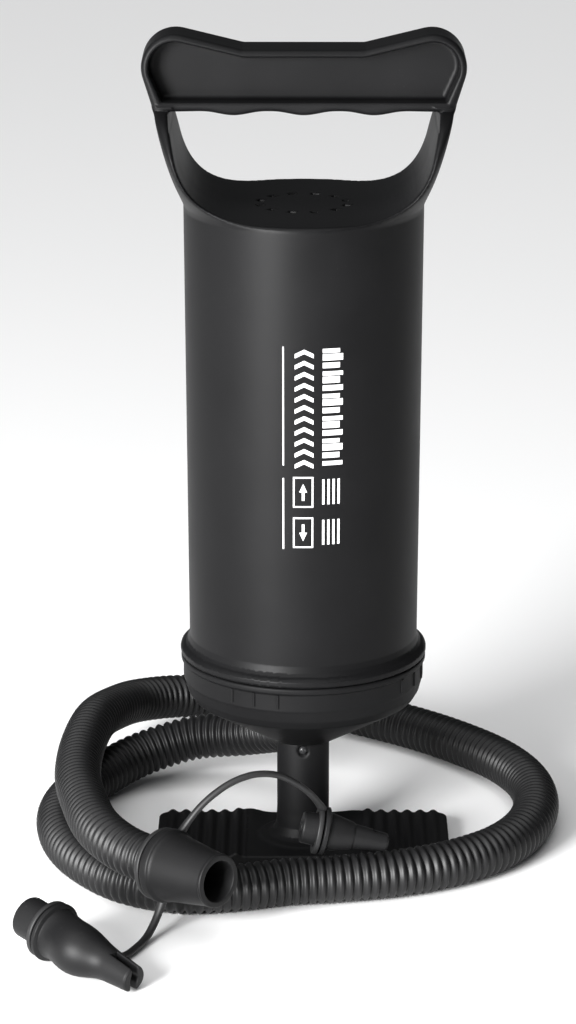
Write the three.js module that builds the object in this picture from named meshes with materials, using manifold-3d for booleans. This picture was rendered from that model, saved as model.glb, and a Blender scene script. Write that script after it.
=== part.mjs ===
// Double action hand pump: a stand with a fixed piston, and a barrel with a hand grip that slides over it.
// Millimetres, +Z up. The origin is on the floor, under the axis of the post. The barrel is at its lowest.

import * as THREE from 'three';
import { mergeVertices } from 'three/addons/utils/BufferGeometryUtils.js';
import Module from 'manifold-3d';

const wasm = await Module();
wasm.setup();

// ---------------------------------------------------------------- driving dimensions

const seatGap = 0.3; // between two pieces that seat on each other
const runningGap = 0.05; // between the rod and the bush that slides on it
const sealGap = 0.16; // between the piston seal and the bore
const roundSides = 36;
const smallRoundSides = 20;
const holeSides = 8;

// The sizes that most others follow from: the bore, the rod, and the heights of the post and the hand scoop.
const bore = 38.4; // radius
const rodRadius = 8;
const socketTop = 43.6;
const scoopHeight = 240; // floor of the hand scoop

const footWidth = 106;
const footDepth = 44;
const footThickness = 5.8;
const footCornerRadius = 4;
const footPocketDepth = 3.4;
const footRibHeight = 1.2;
const footRibWidth = 3;
const footRibPitch = 4.8;
const footRibCount = 6;
const footRibInset = 5; // from the end of the foot to the outermost rib's middle

const socketWall = 1.1;
const socketFloor = 10;
const socketFlareRadius = 5;
const pinRadius = 1.6;
const pinBelowSocketTop = 2.6;

const portBelowSocketTop = 8.1;
const portBossReach = 4.6; // beyond the post
const portBossShoulder = 1.2;
const portSpigotRadius = 6.2;
const portSpigotLength = 11;
const portBore = 4.4;

const rodWall = 2.2;
const rodShoulder = 0.8; // that the piston seats on
const rodNeckLength = 22;

const capHubRim = 3; // around the rod's hole, underneath
const capHubWall = 2.6;
const capConeSlope = 0.585; // rise over run of the underside
const capCreaseInset = 5.6; // from the ring's face
const capRingWall = 2.3;
const capBowlHeight = 8.3;
const capRingHeight = 6.9;
const capLipReach = 0.8; // beyond the ring's face
const capLipHeight = 2.4;
const capConeWall = 2.8;
const capHubFloor = 3;
const capGripCount = 4; // groups of three grip ribs
const capAirHoleCount = 8;
const capAirHoleRadius = 2.2;

const bushLength = 22;
const rodSealLength = 5;
const retainerPlugLength = 5.2;
const retainerFlangeThickness = 1.6;

const skirtWall = 1.9;
const skirtLength = 9; // below the barrel's flange
const flangeReach = 3.3; // beyond the barrel's wall
const flangeThickness = 3;
const barrelFootWall = 2.2; // just above the flange
const barrelHeadWall = 3.3; // under the hand scoop
const gasketThickness = 1.4;

const scoopFloorHalfWidth = 15;
const crownThickness = 3.5; // between the scoop's floor and the pumping chamber
const legSpread = 0.2887; // outward run over rise
const openingHeight = 33.4; // for the fingers, between the scoop and the grip
const gripDepthInHeight = 26.6; // from the grip's underside to its top
const gripDip = 5.3; // of the middle, below the lobes
const gripDipHalfWidth = 20.8;
const gripLobeOverhang = 2.3; // of the lobes' centres beyond the barrel's wall
const gripLobeRadius = 11.6;
const gripHalfDepth = 10;
const gripWebHalfThickness = 1.3;
const gripRim = 2.4;
const fingerBumpDepth = 1.2;
const fingerBumpSpacing = 24;
const openingCornerOverhang = 4.7; // of the opening's upper corners beyond the barrel's wall
const intakeSlotCount = 12;
const intakeSlotCircle = 15.4;

const outletTravel = 1.2;
const discThickness = 1.2;
const topDiscTravel = 1.8;
const topDiscRadius = 20;
const topKeeperThickness = 1.5;
const pistonHeadroom = 3.4; // under the top keeper, with the barrel at its lowest
const pistonPlateThickness = 6;
const pistonPlateGap = 0.8; // between the plates and the bore
const pistonPortCount = 6;
const pistonPortRadius = 3.5;
const nutThickness = 3.1;
const stopRingThickness = 4;
const pistonSealWidth = 5.2;
const outletDiscWidth = 13;
const seatPlateThickness = 1.6;
const intakeRingWidth = 12;
const intakeRingInset = 5.4; // of the ring's outer edge in its keeper
const intakeRingTravel = 1.2;
const keeperThickness = 1.4;

const hoseRadius = 8.5;
const hoseSides = 8;
const hoseSteps = 40;
const cuffWall = 2.2;
const tetherRadius = 1.5;
const tetherSides = 8;
const tetherSteps = 14;

// ---------------------------------------------------------------- levels that follow from them

const socketRadius = rodRadius + seatGap + socketWall;
const portHeight = socketTop - portBelowSocketTop;
const pinHeight = socketTop - pinBelowSocketTop;
const portBossRadius = portSpigotRadius + portBossShoulder;
const portBossEnd = socketRadius + portBossReach;
const rodBore = rodRadius - rodWall;
const rodNeckRadius = rodRadius - rodShoulder;

const skirtRadius = bore + skirtWall;
const barrelFootRadius = bore + barrelFootWall;
const barrelHeadRadius = bore + barrelHeadWall;
const flangeRadius = barrelFootRadius + flangeReach;
const gripUnderside = scoopHeight + openingHeight;
const gripHeight = gripUnderside + gripDepthInHeight;
const gripDipHeight = gripHeight - gripDip;
const gripLobeX = barrelHeadRadius + gripLobeOverhang;
const legTopHeight = gripUnderside + 0.6;
const openingCornerX = barrelHeadRadius + openingCornerOverhang;

const capInnerRadius = skirtRadius + seatGap;
const capRingRadius = capInnerRadius + capRingWall;
const capLipRadius = capRingRadius + capLipReach;
const capCreaseRadius = capRingRadius - capCreaseInset;
const capHubRadius = rodRadius + 0.5 + capHubRim;
const capBottom = socketTop + seatGap;
const capCrease = capBottom + (capCreaseRadius - capHubRadius) * capConeSlope;
const capRingBottom = capCrease + capBowlHeight;
const capLipBottom = capRingBottom + capRingHeight;
const capTop = capLipBottom + capLipHeight;
const flangeBottom = capTop + seatGap;
const flangeTop = flangeBottom + flangeThickness;
const skirtBottom = flangeBottom - skirtLength;
const gasketBottom = skirtBottom - seatGap - gasketThickness;
const capLedge = gasketBottom - seatGap;
const seatPlateRadius = bore - seatGap;
const seatPlateTop = capLedge - 2.4;
const seatPlateBottom = seatPlateTop - seatPlateThickness;
const intakeRingBottom = seatPlateTop + seatGap;
const keeperBottom = intakeRingBottom + discThickness + intakeRingTravel + seatGap;
const hubOuterRadius = capHubRadius + 2;
const pocketRadius = hubOuterRadius - capHubWall;
const pocketBottom = capBottom + capHubFloor;
const bushBottom = pocketBottom + seatGap;
const rodSealBottom = bushBottom + bushLength + seatGap;
const retainerBottom = rodSealBottom + rodSealLength + seatGap;
const capHubTop = retainerBottom + retainerPlugLength;
const intakeRingOuter = bore - 2 - intakeRingInset;
const intakeRingInner = intakeRingOuter - intakeRingWidth;
const capAirHoleCircle = (intakeRingInner + intakeRingOuter) / 2;

const crownUnderside = scoopHeight - crownThickness;
const topDiscBottom = crownUnderside - seatGap - topDiscTravel - discThickness;
const topKeeperTop = topDiscBottom - seatGap;
const discRoom = seatGap + discThickness + outletTravel + seatGap;
const pistonSealOuter = bore - sealGap;
const outletDiscOuter = pistonSealOuter - pistonSealWidth - 3;
const outletDiscInner = outletDiscOuter - outletDiscWidth;
const pistonPortCircle = (outletDiscInner + outletDiscOuter) / 2;
const pistonPlateRadius = bore - pistonPlateGap;
const pistonHeight = 2 * pistonPlateThickness + 2 * discRoom + stopRingThickness;
const lowerPlateBottom = topKeeperTop - topKeeperThickness - pistonHeadroom - pistonHeight;
const rodNeckHeight = lowerPlateBottom - seatGap; // the shoulder that the piston seats on
const lowerPlateTop = lowerPlateBottom + pistonPlateThickness;
const lowerDiscBottom = lowerPlateTop + seatGap;
const stopRingBottom = lowerDiscBottom + discThickness + outletTravel + seatGap;
const stopRingTop = stopRingBottom + stopRingThickness;
const upperDiscBottom = stopRingTop + seatGap;
const upperPlateBottom = upperDiscBottom + discThickness + outletTravel + seatGap;
const upperPlateTop = upperPlateBottom + pistonPlateThickness;

// ---------------------------------------------------------------- shape helpers

/** Turns a closed three.js geometry into a Manifold solid, with its faces pointing out. */
function solid(geometry) {
  const bare = geometry.clone();
  bare.deleteAttribute('normal');
  bare.deleteAttribute('uv');
  const merged = mergeVertices(bare, 1e-4);
  const positions = Float32Array.from(merged.attributes.position.array);
  const corners = [];
  let volume = 0;
  const a = new THREE.Vector3();
  const b = new THREE.Vector3();
  const c = new THREE.Vector3();
  for (let i = 0; i < merged.index.count; i += 3) {
    const [p, q, r] = [0, 1, 2].map((k) => merged.index.getX(i + k));
    if (p === q || q === r || r === p) continue;
    corners.push(p, q, r);
    a.fromArray(positions, 3 * p);
    b.fromArray(positions, 3 * q);
    c.fromArray(positions, 3 * r);
    volume += a.dot(b.cross(c));
  }
  if (volume < 0) corners.reverse();
  const triVerts = Uint32Array.from(corners);
  return new wasm.Manifold(new wasm.Mesh({ numProp: 3, vertProperties: positions, triVerts }));
}

/** Gives a Manifold solid back as a three.js geometry. */
function geometryOf(manifold) {
  const mesh = manifold.getMesh();
  const geometry = new THREE.BufferGeometry();
  geometry.setAttribute('position', new THREE.BufferAttribute(mesh.vertProperties, 3));
  geometry.setIndex(new THREE.BufferAttribute(mesh.triVerts, 1));
  geometry.computeVertexNormals();
  return geometry;
}

/** Revolves a closed outline of [radius, height] points about Z. */
function turned(outline, sides = roundSides) {
  const points = outline.map(([r, z]) => new THREE.Vector2(r, z));
  if (outline[0][0] > 0 || outline.at(-1)[0] > 0) points.push(points[0].clone());
  return solid(new THREE.LatheGeometry(points, sides).rotateX(Math.PI / 2));
}

/** A ring or disc of rectangular section. */
function washer(inner, outer, bottom, top, sides = roundSides) {
  return turned([[inner, bottom], [outer, bottom], [outer, top], [inner, top]], sides);
}

/** A round bar along Z. */
function bar(radius, bottom, top, sides = roundSides) {
  return turned([[0, bottom], [radius, bottom], [radius, top], [0, top]], sides);
}

/** A round bar along Y, between two values of y, on the line x, z. */
function crossBar(radius, from, to, x, z, sides = smallRoundSides) {
  return bar(radius, from, to, sides).rotate([-90, 0, 0]).translate([x, 0, z]);
}

/** A rectangular block between two corners. */
function block(low, high) {
  const size = high.map((v, i) => v - low[i]);
  const centre = high.map((v, i) => (v + low[i]) / 2);
  return solid(new THREE.BoxGeometry(...size).translate(...centre));
}

/** Extrudes an outline drawn in X and Z along Y. */
function acrossY(shape, from, to, curveSegments = 7) {
  const settings = { depth: to - from, bevelEnabled: false, curveSegments };
  return solid(new THREE.ExtrudeGeometry(shape, settings).rotateX(Math.PI / 2).translate(0, to, 0));
}

/** Extrudes an outline drawn in X and Y along Z. */
function upward(shape, from, to, curveSegments = 4) {
  const settings = { depth: to - from, bevelEnabled: false, curveSegments };
  return solid(new THREE.ExtrudeGeometry(shape, settings).translate(0, 0, from));
}

/** A solid tube of regular section along a smooth curve through points. */
function cord(points, radius, sides, steps) {
  const section = new THREE.Shape();
  for (let i = 0; i < sides; i += 1) {
    const angle = (2 * Math.PI * i) / sides;
    const place = [radius * Math.cos(angle), radius * Math.sin(angle)];
    if (i === 0) section.moveTo(...place);
    else section.lineTo(...place);
  }
  section.closePath();
  const route = points.map((p) => new THREE.Vector3(...p));
  const extrudePath = new THREE.CatmullRomCurve3(route, false, 'centripetal');
  return solid(new THREE.ExtrudeGeometry(section, { steps, bevelEnabled: false, extrudePath }));
}

/** Copies of a solid set around the Z axis. */
function around(piece, count, startDegrees = 0) {
  const copies = [];
  for (let i = 0; i < count; i += 1) copies.push(piece.rotate([0, 0, startDegrees + (360 * i) / count]));
  return wasm.Manifold.union(copies);
}

/** Moves a solid built along +Z so its axis starts at a point and aims along a direction, its X level. */
function aimed(manifold, start, direction) {
  const forward = new THREE.Vector3(...direction).normalize();
  const side = new THREE.Vector3().crossVectors(forward, new THREE.Vector3(0, 0, 1)).normalize();
  const down = new THREE.Vector3().crossVectors(forward, side);
  const matrix = new THREE.Matrix4().makeBasis(side, down, forward);
  matrix.setPosition(...start);
  return solid(geometryOf(manifold).applyMatrix4(matrix));
}

// ---------------------------------------------------------------- materials

const plastic = (color, roughness) => new THREE.MeshStandardMaterial({ color, roughness, metalness: 0 });
const satinBlack = plastic(0x1b1b1c, 0.42);
const matteBlack = plastic(0x202021, 0.6);
const hoseBlack = plastic(0x262627, 0.5);
const softBlack = plastic(0x1d1d1d, 0.7);
const whitePlastic = plastic(0xd8d8d2, 0.5);
const redRubber = plastic(0x8c3b2e, 0.75);

const group = new THREE.Group();
const stand = new THREE.Group();
const gland = new THREE.Group();
const upper = new THREE.Group();
const hoseEnd = new THREE.Group();
group.add(stand, gland, upper, hoseEnd);

function add(parent, name, manifold, material) {
  const mesh = new THREE.Mesh(geometryOf(manifold), material);
  mesh.name = name;
  parent.add(mesh);
}

// ---------------------------------------------------------------- stand: foot, post, rod

/** Outline of the foot plate: a rectangle with rounded corners. */
function footOutline(inset) {
  const x = footWidth / 2 - inset;
  const y = footDepth / 2 - inset;
  const r = footCornerRadius;
  const shape = new THREE.Shape();
  shape.moveTo(-x + r, -y);
  shape.lineTo(x - r, -y);
  shape.absarc(x - r, -y + r, r, -Math.PI / 2, 0);
  shape.lineTo(x, y - r);
  shape.absarc(x - r, y - r, r, 0, Math.PI / 2);
  shape.lineTo(-x + r, y);
  shape.absarc(-x + r, y - r, r, Math.PI / 2, Math.PI);
  shape.lineTo(-x, -y + r);
  shape.absarc(-x + r, -y + r, r, Math.PI, 1.5 * Math.PI);
  return shape;
}

/** The foot plate with its tread ribs, the flared post socket and the hose port, in one moulding. */
function footBase() {
  const ribs = [];
  for (let i = 0; i < footRibCount; i += 1) {
    const x = footWidth / 2 - footRibInset - i * footRibPitch;
    for (const side of [-1, 1]) {
      ribs.push(block(
        [side * x - footRibWidth / 2, -footDepth / 2 + 1, footThickness - 1],
        [side * x + footRibWidth / 2, footDepth / 2 - 1, footThickness + footRibHeight]));
    }
  }
  const flare = turned([
    [0, footThickness - 1], [socketRadius + socketFlareRadius, footThickness - 1],
    [socketRadius + socketFlareRadius, footThickness],
    [socketRadius + 0.45 * socketFlareRadius, footThickness + 0.18 * socketFlareRadius],
    [socketRadius + 0.15 * socketFlareRadius, footThickness + 0.5 * socketFlareRadius],
    [socketRadius, footThickness + socketFlareRadius], [socketRadius, socketTop], [0, socketTop],
  ]);
  const boss = crossBar(portBossRadius, 0, portBossEnd, 0, portHeight);
  const spigot = crossBar(portSpigotRadius, 0, portBossEnd + portSpigotLength, 0, portHeight);
  const body = wasm.Manifold.union([upward(footOutline(0), 0, footThickness), ...ribs, flare, boss, spigot]);

  const socketBore = bar(rodRadius + seatGap, socketFloor, socketTop + 1);
  const portHole = crossBar(portBore, 0, portBossEnd + portSpigotLength + 1, 0, portHeight);
  const pinHole = crossBar(pinRadius + seatGap, -socketRadius - 1, 0, 0, pinHeight, holeSides);
  const pockets = [];
  const pocketStart = socketRadius + socketFlareRadius + 0.6;
  const pocketEnd = footWidth / 2 - 3;
  for (const side of [-1, 1]) {
    for (const half of [-1, 1]) {
      const xs = [side * pocketStart, side * pocketEnd].sort((p, q) => p - q);
      const ys = [half * 1.2, half * (footDepth / 2 - 3)].sort((p, q) => p - q);
      pockets.push(block([xs[0], ys[0], -1], [xs[1], ys[1], footPocketDepth]));
    }
  }
  return body.subtract(wasm.Manifold.union([socketBore, portHole, pinHole, ...pockets]));
}

/** The hollow rod: stands in the socket, carries the piston, and leads the air down to the port. */
function rodTube() {
  const bottom = socketFloor + seatGap;
  const neckTop = rodNeckHeight + rodNeckLength;
  const outside = turned([
    [0, bottom], [rodRadius, bottom], [rodRadius, rodNeckHeight], [rodNeckRadius, rodNeckHeight],
    [rodNeckRadius, neckTop], [0, neckTop],
  ]);
  const inside = bar(rodBore, bottom - 1, neckTop - 5);
  const portHole = crossBar(portBore, 0, rodRadius + 1, 0, portHeight);
  const pinHole = crossBar(pinRadius + seatGap, -rodRadius - 1, 0, 0, pinHeight, holeSides);
  const galleryHeight = (stopRingBottom + stopRingTop) / 2 + 0.4;
  const galleryHole = crossBar(2, -rodRadius - 1, rodRadius + 1, 0, galleryHeight, holeSides);
  return outside.subtract(wasm.Manifold.union(
    [inside, portHole, pinHole, galleryHole, galleryHole.rotate([0, 0, 90])]));
}

/** The domed button that locks the rod in the socket. */
function rodPin() {
  const pin = turned([
    [0, rodBore + 0.2], [pinRadius, rodBore + 0.2], [pinRadius, socketRadius - 1.1],
    [0.7 * pinRadius, socketRadius - 0.55], [0, socketRadius - 0.35],
  ], holeSides);
  return pin.rotate([90, 0, 0]).translate([0, 0, pinHeight]);
}

add(stand, 'foot_base', footBase(), matteBlack);
add(stand, 'rod_tube', rodTube(), satinBlack);
add(stand, 'rod_pin', rodPin(), satinBlack);

// ---------------------------------------------------------------- stand: the fixed piston

const nutRadius = rodNeckRadius + 3.3;

/** A piston plate: a disc with air ports, and a pocket for the nut where it has one. */
function pistonPlate(bottom, nutPocket) {
  const top = bottom + pistonPlateThickness;
  const plate = washer(rodNeckRadius + seatGap, pistonPlateRadius, bottom, top);
  const port = bar(pistonPortRadius, bottom - 1, top + 1, holeSides).translate([pistonPortCircle, 0, 0]);
  const cuts = [around(port, pistonPortCount)];
  if (nutPocket > 0) cuts.push(bar(nutPocket, top - nutThickness - 2 * seatGap, top + 1));
  return plate.subtract(wasm.Manifold.union(cuts));
}

/** The ring that spaces the two outlet discs and leads the air inwards to the rod. */
function stopRing() {
  const ring = washer(rodNeckRadius + seatGap, outletDiscOuter - 1, stopRingBottom, stopRingTop);
  const channel = block([-outletDiscOuter, -3, stopRingBottom + 1.5], [outletDiscOuter, 3, stopRingTop + 1]);
  return ring.subtract(channel.add(channel.rotate([0, 0, 90])));
}

/** The two-lipped piston seal held between the plates. */
function pistonSeal() {
  const bottom = lowerPlateTop + seatGap;
  const top = upperPlateBottom - seatGap;
  const outer = pistonSealOuter;
  const inner = outer - pistonSealWidth;
  const middle = (bottom + top) / 2;
  return turned([
    [inner, bottom], [outer - 0.8, bottom], [outer, bottom + 1], [outer, bottom + 2],
    [outer - 1.2, middle], [outer, top - 2], [outer, top - 1], [outer - 0.8, top], [inner, top],
  ]);
}

/** A hexagonal nut on the end of the rod, sunk in the upper plate. */
function pistonNut() {
  const nut = bar(nutRadius, upperPlateTop - seatGap - nutThickness, upperPlateTop - seatGap, 6);
  return nut.subtract(bar(rodNeckRadius + seatGap, upperPlateBottom, upperPlateTop + 1));
}

add(stand, 'piston_lower_plate', pistonPlate(lowerPlateBottom, 0), whitePlastic);
add(stand, 'piston_upper_plate', pistonPlate(upperPlateBottom, nutRadius + 1.5), whitePlastic);
add(stand, 'piston_stop_ring', stopRing(), whitePlastic);
add(stand, 'piston_seal', pistonSeal(), softBlack);
add(stand, 'piston_nut', pistonNut(), whitePlastic);
const outletDisc = (bottom) => washer(outletDiscInner, outletDiscOuter, bottom, bottom + discThickness);
add(stand, 'lower_outlet_disc', outletDisc(lowerDiscBottom), redRubber);
add(stand, 'upper_outlet_disc', outletDisc(upperDiscBottom), redRubber);

// ---------------------------------------------------------------- gland: what slides on the rod

const rodBushInner = rodRadius + runningGap;
const pocketFit = pocketRadius - seatGap;
add(gland, 'rod_bush', washer(rodBushInner, pocketFit, bushBottom, bushBottom + bushLength), whitePlastic);

/** The rod seal: a ring with a lip that bears on the rod. */
function rodSeal() {
  const top = rodSealBottom + rodSealLength;
  return turned([
    [rodBushInner, rodSealBottom], [pocketFit, rodSealBottom], [pocketFit, top], [pocketFit - 0.8, top],
    [rodBushInner + 1, rodSealBottom + 2], [rodBushInner + 0.4, top - 0.4], [rodBushInner, top - 0.8],
  ]);
}
add(gland, 'rod_seal', rodSeal(), softBlack);

// ---------------------------------------------------------------- barrel with its grip

/** Half depth of the shoulders, front to back, at a height: a round shoulder that ends at the grip. */
function shoulderHalfDepth(z) {
  const t = THREE.MathUtils.clamp((z - scoopHeight) / (legTopHeight - scoopHeight), 0, 1);
  return gripHalfDepth - 1 + (barrelHeadRadius - gripHalfDepth + 1) * Math.sqrt(1 - t * t);
}

/** The shoulders: sections that change from the round barrel to two flat legs under the grip. */
function shoulders() {
  const start = scoopHeight - 3;
  const rise = [0, 3, 6, 10, 15, 20, 25, 30, 33, 35, 36.4].map((v) => v * (legTopHeight - start) / 37);
  const positions = [];
  const indices = [];
  rise.forEach((step) => {
    const z = start + step;
    const halfWidth = barrelHeadRadius + Math.max(0, z - scoopHeight - 0.4) * legSpread;
    const halfDepth = shoulderHalfDepth(z);
    const power = 2 / (2 + 0.045 * Math.max(0, z - scoopHeight + 2) ** 1.6);
    for (let i = 0; i < roundSides; i += 1) {
      const angle = (2 * Math.PI * i) / roundSides;
      const c = Math.cos(angle);
      const s = Math.sin(angle);
      positions.push(
        halfWidth * Math.sign(c) * Math.abs(c) ** power,
        halfDepth * Math.sign(s) * Math.abs(s) ** power, z);
    }
  });
  const last = rise.length - 1;
  positions.push(0, 0, start, 0, 0, start + rise[last]);
  const low = rise.length * roundSides;
  for (let i = 0; i < roundSides; i += 1) {
    const next = (i + 1) % roundSides;
    for (let k = 0; k < last; k += 1) {
      const [a, b] = [k * roundSides + i, k * roundSides + next];
      indices.push(a, b, b + roundSides, a, b + roundSides, a + roundSides);
    }
    indices.push(low, next, i, low + 1, last * roundSides + i, last * roundSides + next);
  }
  const geometry = new THREE.BufferGeometry();
  geometry.setAttribute('position', new THREE.Float32BufferAttribute(positions, 3));
  geometry.setIndex(indices);
  return solid(geometry);
}

/** Outline of the grip in X and Z, drawn in from its outer edge by an inset. */
function gripOutline(inset, bottom, bottomHalfWidth) {
  const lobeZ = gripHeight - gripLobeRadius;
  const radius = gripLobeRadius - inset;
  const dip = gripDipHeight - inset;
  const slope = Math.atan2(gripHeight - gripDipHeight, gripLobeX - gripDipHalfWidth);
  const shape = new THREE.Shape();
  shape.moveTo(-bottomHalfWidth, bottom);
  shape.lineTo(bottomHalfWidth, bottom);
  shape.absarc(gripLobeX, lobeZ, radius, -Math.atan(legSpread), Math.PI / 2 + slope);
  shape.lineTo(gripDipHalfWidth, dip);
  shape.lineTo(-gripDipHalfWidth, dip);
  shape.absarc(-gripLobeX, lobeZ, radius, Math.PI / 2 - slope, Math.PI + Math.atan(legSpread));
  return shape;
}

/** The hand opening: flat floor, sides that sweep up into the legs, and finger bumps along the top. */
function openingOutline() {
  const bend = scoopHeight + 20;
  const legX = openingCornerX - (gripUnderside - bend) * 0.215;
  const sweep = [barrelHeadRadius - 8.7, barrelHeadRadius - 1.1];
  const shape = new THREE.Shape();
  shape.moveTo(-scoopFloorHalfWidth, scoopHeight);
  shape.lineTo(scoopFloorHalfWidth, scoopHeight);
  shape.bezierCurveTo(sweep[0], scoopHeight, sweep[1], scoopHeight + 7.5, legX, bend);
  shape.lineTo(openingCornerX, gripUnderside);
  const bumps = [1, 0, -1].map((k) => k * fingerBumpSpacing);
  let x = openingCornerX;
  for (const bump of [...bumps, -openingCornerX]) {
    const end = bump === -openingCornerX ? gripUnderside : gripUnderside - fingerBumpDepth;
    shape.quadraticCurveTo((x + bump) / 2, gripUnderside + 0.9, bump, end);
    x = bump;
  }
  shape.lineTo(-legX, bend);
  shape.bezierCurveTo(
    -sweep[1], scoopHeight + 7.5, -sweep[0], scoopHeight, -scoopFloorHalfWidth, scoopHeight);
  return shape;
}

/** The barrel, open at the foot, with its flange, crown, shoulders and grip in one moulding. */
function barrel() {
  const shell = turned([
    [0, skirtBottom], [skirtRadius, skirtBottom], [skirtRadius, flangeBottom], [flangeRadius, flangeBottom],
    [flangeRadius, flangeTop - 0.8], [flangeRadius - 0.8, flangeTop],
    [barrelFootRadius + 1, flangeTop + 1.4],
    [barrelFootRadius, flangeTop + 4],
    [barrelHeadRadius, scoopHeight - 2.9], [0, scoopHeight - 2.9],
  ]);
  const legWidth = barrelHeadRadius + (legTopHeight - 4 - scoopHeight) * legSpread;
  const grip = acrossY(gripOutline(0, legTopHeight - 4, legWidth), -gripHalfDepth, gripHalfDepth);
  const chamber = bar(bore, skirtBottom - 1, crownUnderside);
  const opening = acrossY(openingOutline(), -2 * barrelHeadRadius, 2 * barrelHeadRadius);
  const recessBottom = gripUnderside + 3.4;
  const recessOutline = gripOutline(gripRim, recessBottom, openingCornerX);
  const frontRecess = acrossY(recessOutline, -2 * gripHalfDepth, -gripWebHalfThickness);
  const backRecess = acrossY(recessOutline, gripWebHalfThickness, 2 * gripHalfDepth);
  const slot = block(
    [intakeSlotCircle - 1.2, -1.3, crownUnderside - 1], [intakeSlotCircle + 1.2, 1.3, scoopHeight + 1]);
  const slots = around(slot, intakeSlotCount, 180 / intakeSlotCount);
  const underGrip = block(
    [-openingCornerX, -2 * barrelHeadRadius, gripUnderside - 3],
    [openingCornerX, 2 * barrelHeadRadius, gripUnderside + 2]);
  return wasm.Manifold.union([shell, shoulders().subtract(underGrip), grip])
    .subtract(wasm.Manifold.union([chamber, opening, frontRecess, backRecess, slots]));
}

add(upper, 'barrel', barrel(), satinBlack);

/** Stem and vented flange that hold the top intake disc under the crown. */
function topDiscKeeper() {
  const top = crownUnderside - seatGap;
  const stem = 4;
  const bottom = topKeeperTop - topKeeperThickness;
  const keeper = turned([[0, bottom], [topDiscRadius, bottom], [topDiscRadius, topKeeperTop],
    [stem, topKeeperTop], [stem, top], [0, top]], smallRoundSides);
  const vent = bar(3, bottom - 1, topKeeperTop + 0.1, holeSides).translate([12, 0, 0]);
  return keeper.subtract(around(vent, 6));
}
add(upper, 'top_disc_keeper', topDiscKeeper(), whitePlastic);
const topDisc = washer(4.4, topDiscRadius, topDiscBottom, topDiscBottom + discThickness);
add(upper, 'top_intake_disc', topDisc, redRubber);

// ---------------------------------------------------------------- lower cap and what it holds

/** The cap that closes the barrel's foot: grip ring, bowl, cone and the hub for the rod. */
function lowerCap() {
  const coneTop = (r) => capBottom + (r - capHubRadius) * capConeSlope + capConeWall;
  const shell = turned([
    [rodRadius + 0.5, capBottom], [capHubRadius, capBottom], [capCreaseRadius, capCrease],
    [capCreaseRadius + 2.6, capCrease + 1.6], [capRingRadius - 1.2, capCrease + 4.6],
    [capRingRadius - 0.3, capRingBottom], [capRingRadius, capRingBottom + 0.6],
    [capRingRadius, capLipBottom],
    [capLipRadius, capLipBottom + 0.4], [capLipRadius, capTop - 0.5], [capLipRadius - 0.6, capTop],
    [capInnerRadius, capTop], [capInnerRadius, capLedge], [bore, capLedge],
    [bore, seatPlateBottom - seatGap],
    [seatPlateRadius - 2, seatPlateBottom - seatGap], [seatPlateRadius - 3, coneTop(capCreaseRadius - 4)],
    [hubOuterRadius, coneTop(hubOuterRadius)], [hubOuterRadius, capHubTop],
    [pocketRadius, capHubTop], [pocketRadius, pocketBottom], [rodRadius + 0.5, pocketBottom],
  ]);
  const rib = block(
    [capRingRadius - 0.6, -0.55, capRingBottom + 1], [capRingRadius + 0.5, 0.55, capLipBottom + 0.2]);
  const ribs = [-1, 0, 1].map((k) => around(rib, capGripCount, -113.7 + 11.7 * k));
  const hole = bar(capAirHoleRadius, capBottom, capLedge, holeSides).translate([capAirHoleCircle, 0, 0]);
  return wasm.Manifold.union([shell, ...ribs]).subtract(around(hole, capAirHoleCount));
}
add(upper, 'lower_cap', lowerCap(), matteBlack);

add(upper, 'cap_gasket', washer(bore, skirtRadius, gasketBottom, gasketBottom + gasketThickness), softBlack);

/** The plate with the lower air inlets, lying on the ledge of the cap. */
function seatPlate() {
  const plate = washer(hubOuterRadius + seatGap, seatPlateRadius, seatPlateBottom, seatPlateTop);
  const hole = bar(capAirHoleRadius + 0.4, seatPlateBottom - 1, seatPlateTop + 1, holeSides)
    .translate([capAirHoleCircle, 0, 0]);
  return plate.subtract(around(hole, capAirHoleCount, 180 / capAirHoleCount));
}
add(upper, 'intake_seat_plate', seatPlate(), whitePlastic);
add(upper, 'lower_intake_ring',
  washer(intakeRingInner, intakeRingOuter, intakeRingBottom, intakeRingBottom + discThickness), redRubber);

/** A bridge over the lower intake ring, open between its arms. */
function ringKeeper() {
  const inner = hubOuterRadius + seatGap;
  const outer = intakeRingOuter + 5;
  const top = keeperBottom + keeperThickness;
  const bridge = turned([
    [inner, intakeRingBottom], [inner + 2, intakeRingBottom], [inner + 2, keeperBottom],
    [outer - 2, keeperBottom], [outer - 2, intakeRingBottom], [outer, intakeRingBottom], [outer, top],
    [inner, top],
  ]);
  const window = washer(inner + 4, outer - 4, keeperBottom - 1, top + 1)
    .subtract(around(block([0, -3, keeperBottom - 2], [outer, 3, top + 2]), 4));
  return bridge.subtract(window);
}
add(upper, 'intake_ring_keeper', ringKeeper(), whitePlastic);

/** The plug that holds the rod seal down in the hub. */
function sealRetainer() {
  const flange = capHubTop + seatGap;
  const inner = rodRadius + 0.4;
  return turned([
    [inner, retainerBottom], [pocketFit, retainerBottom], [pocketFit, flange],
    [hubOuterRadius - 0.1, flange], [hubOuterRadius - 0.1, flange + retainerFlangeThickness],
    [inner, flange + retainerFlangeThickness],
  ]);
}
add(upper, 'seal_retainer', sealRetainer(), whitePlastic);

// ---------------------------------------------------------------- hose

const cuffStart = portBossEnd + seatGap;
const cuffLength = portSpigotLength + 1.5;
const cuffEnd = cuffStart + cuffLength;
const cuff = crossBar(portSpigotRadius + seatGap + cuffWall, cuffStart, cuffEnd, 0, portHeight)
  .subtract(crossBar(portSpigotRadius + seatGap, cuffStart - 1, cuffEnd + 1, 0, portHeight));
add(hoseEnd, 'hose_cuff', cuff, hoseBlack);

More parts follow.
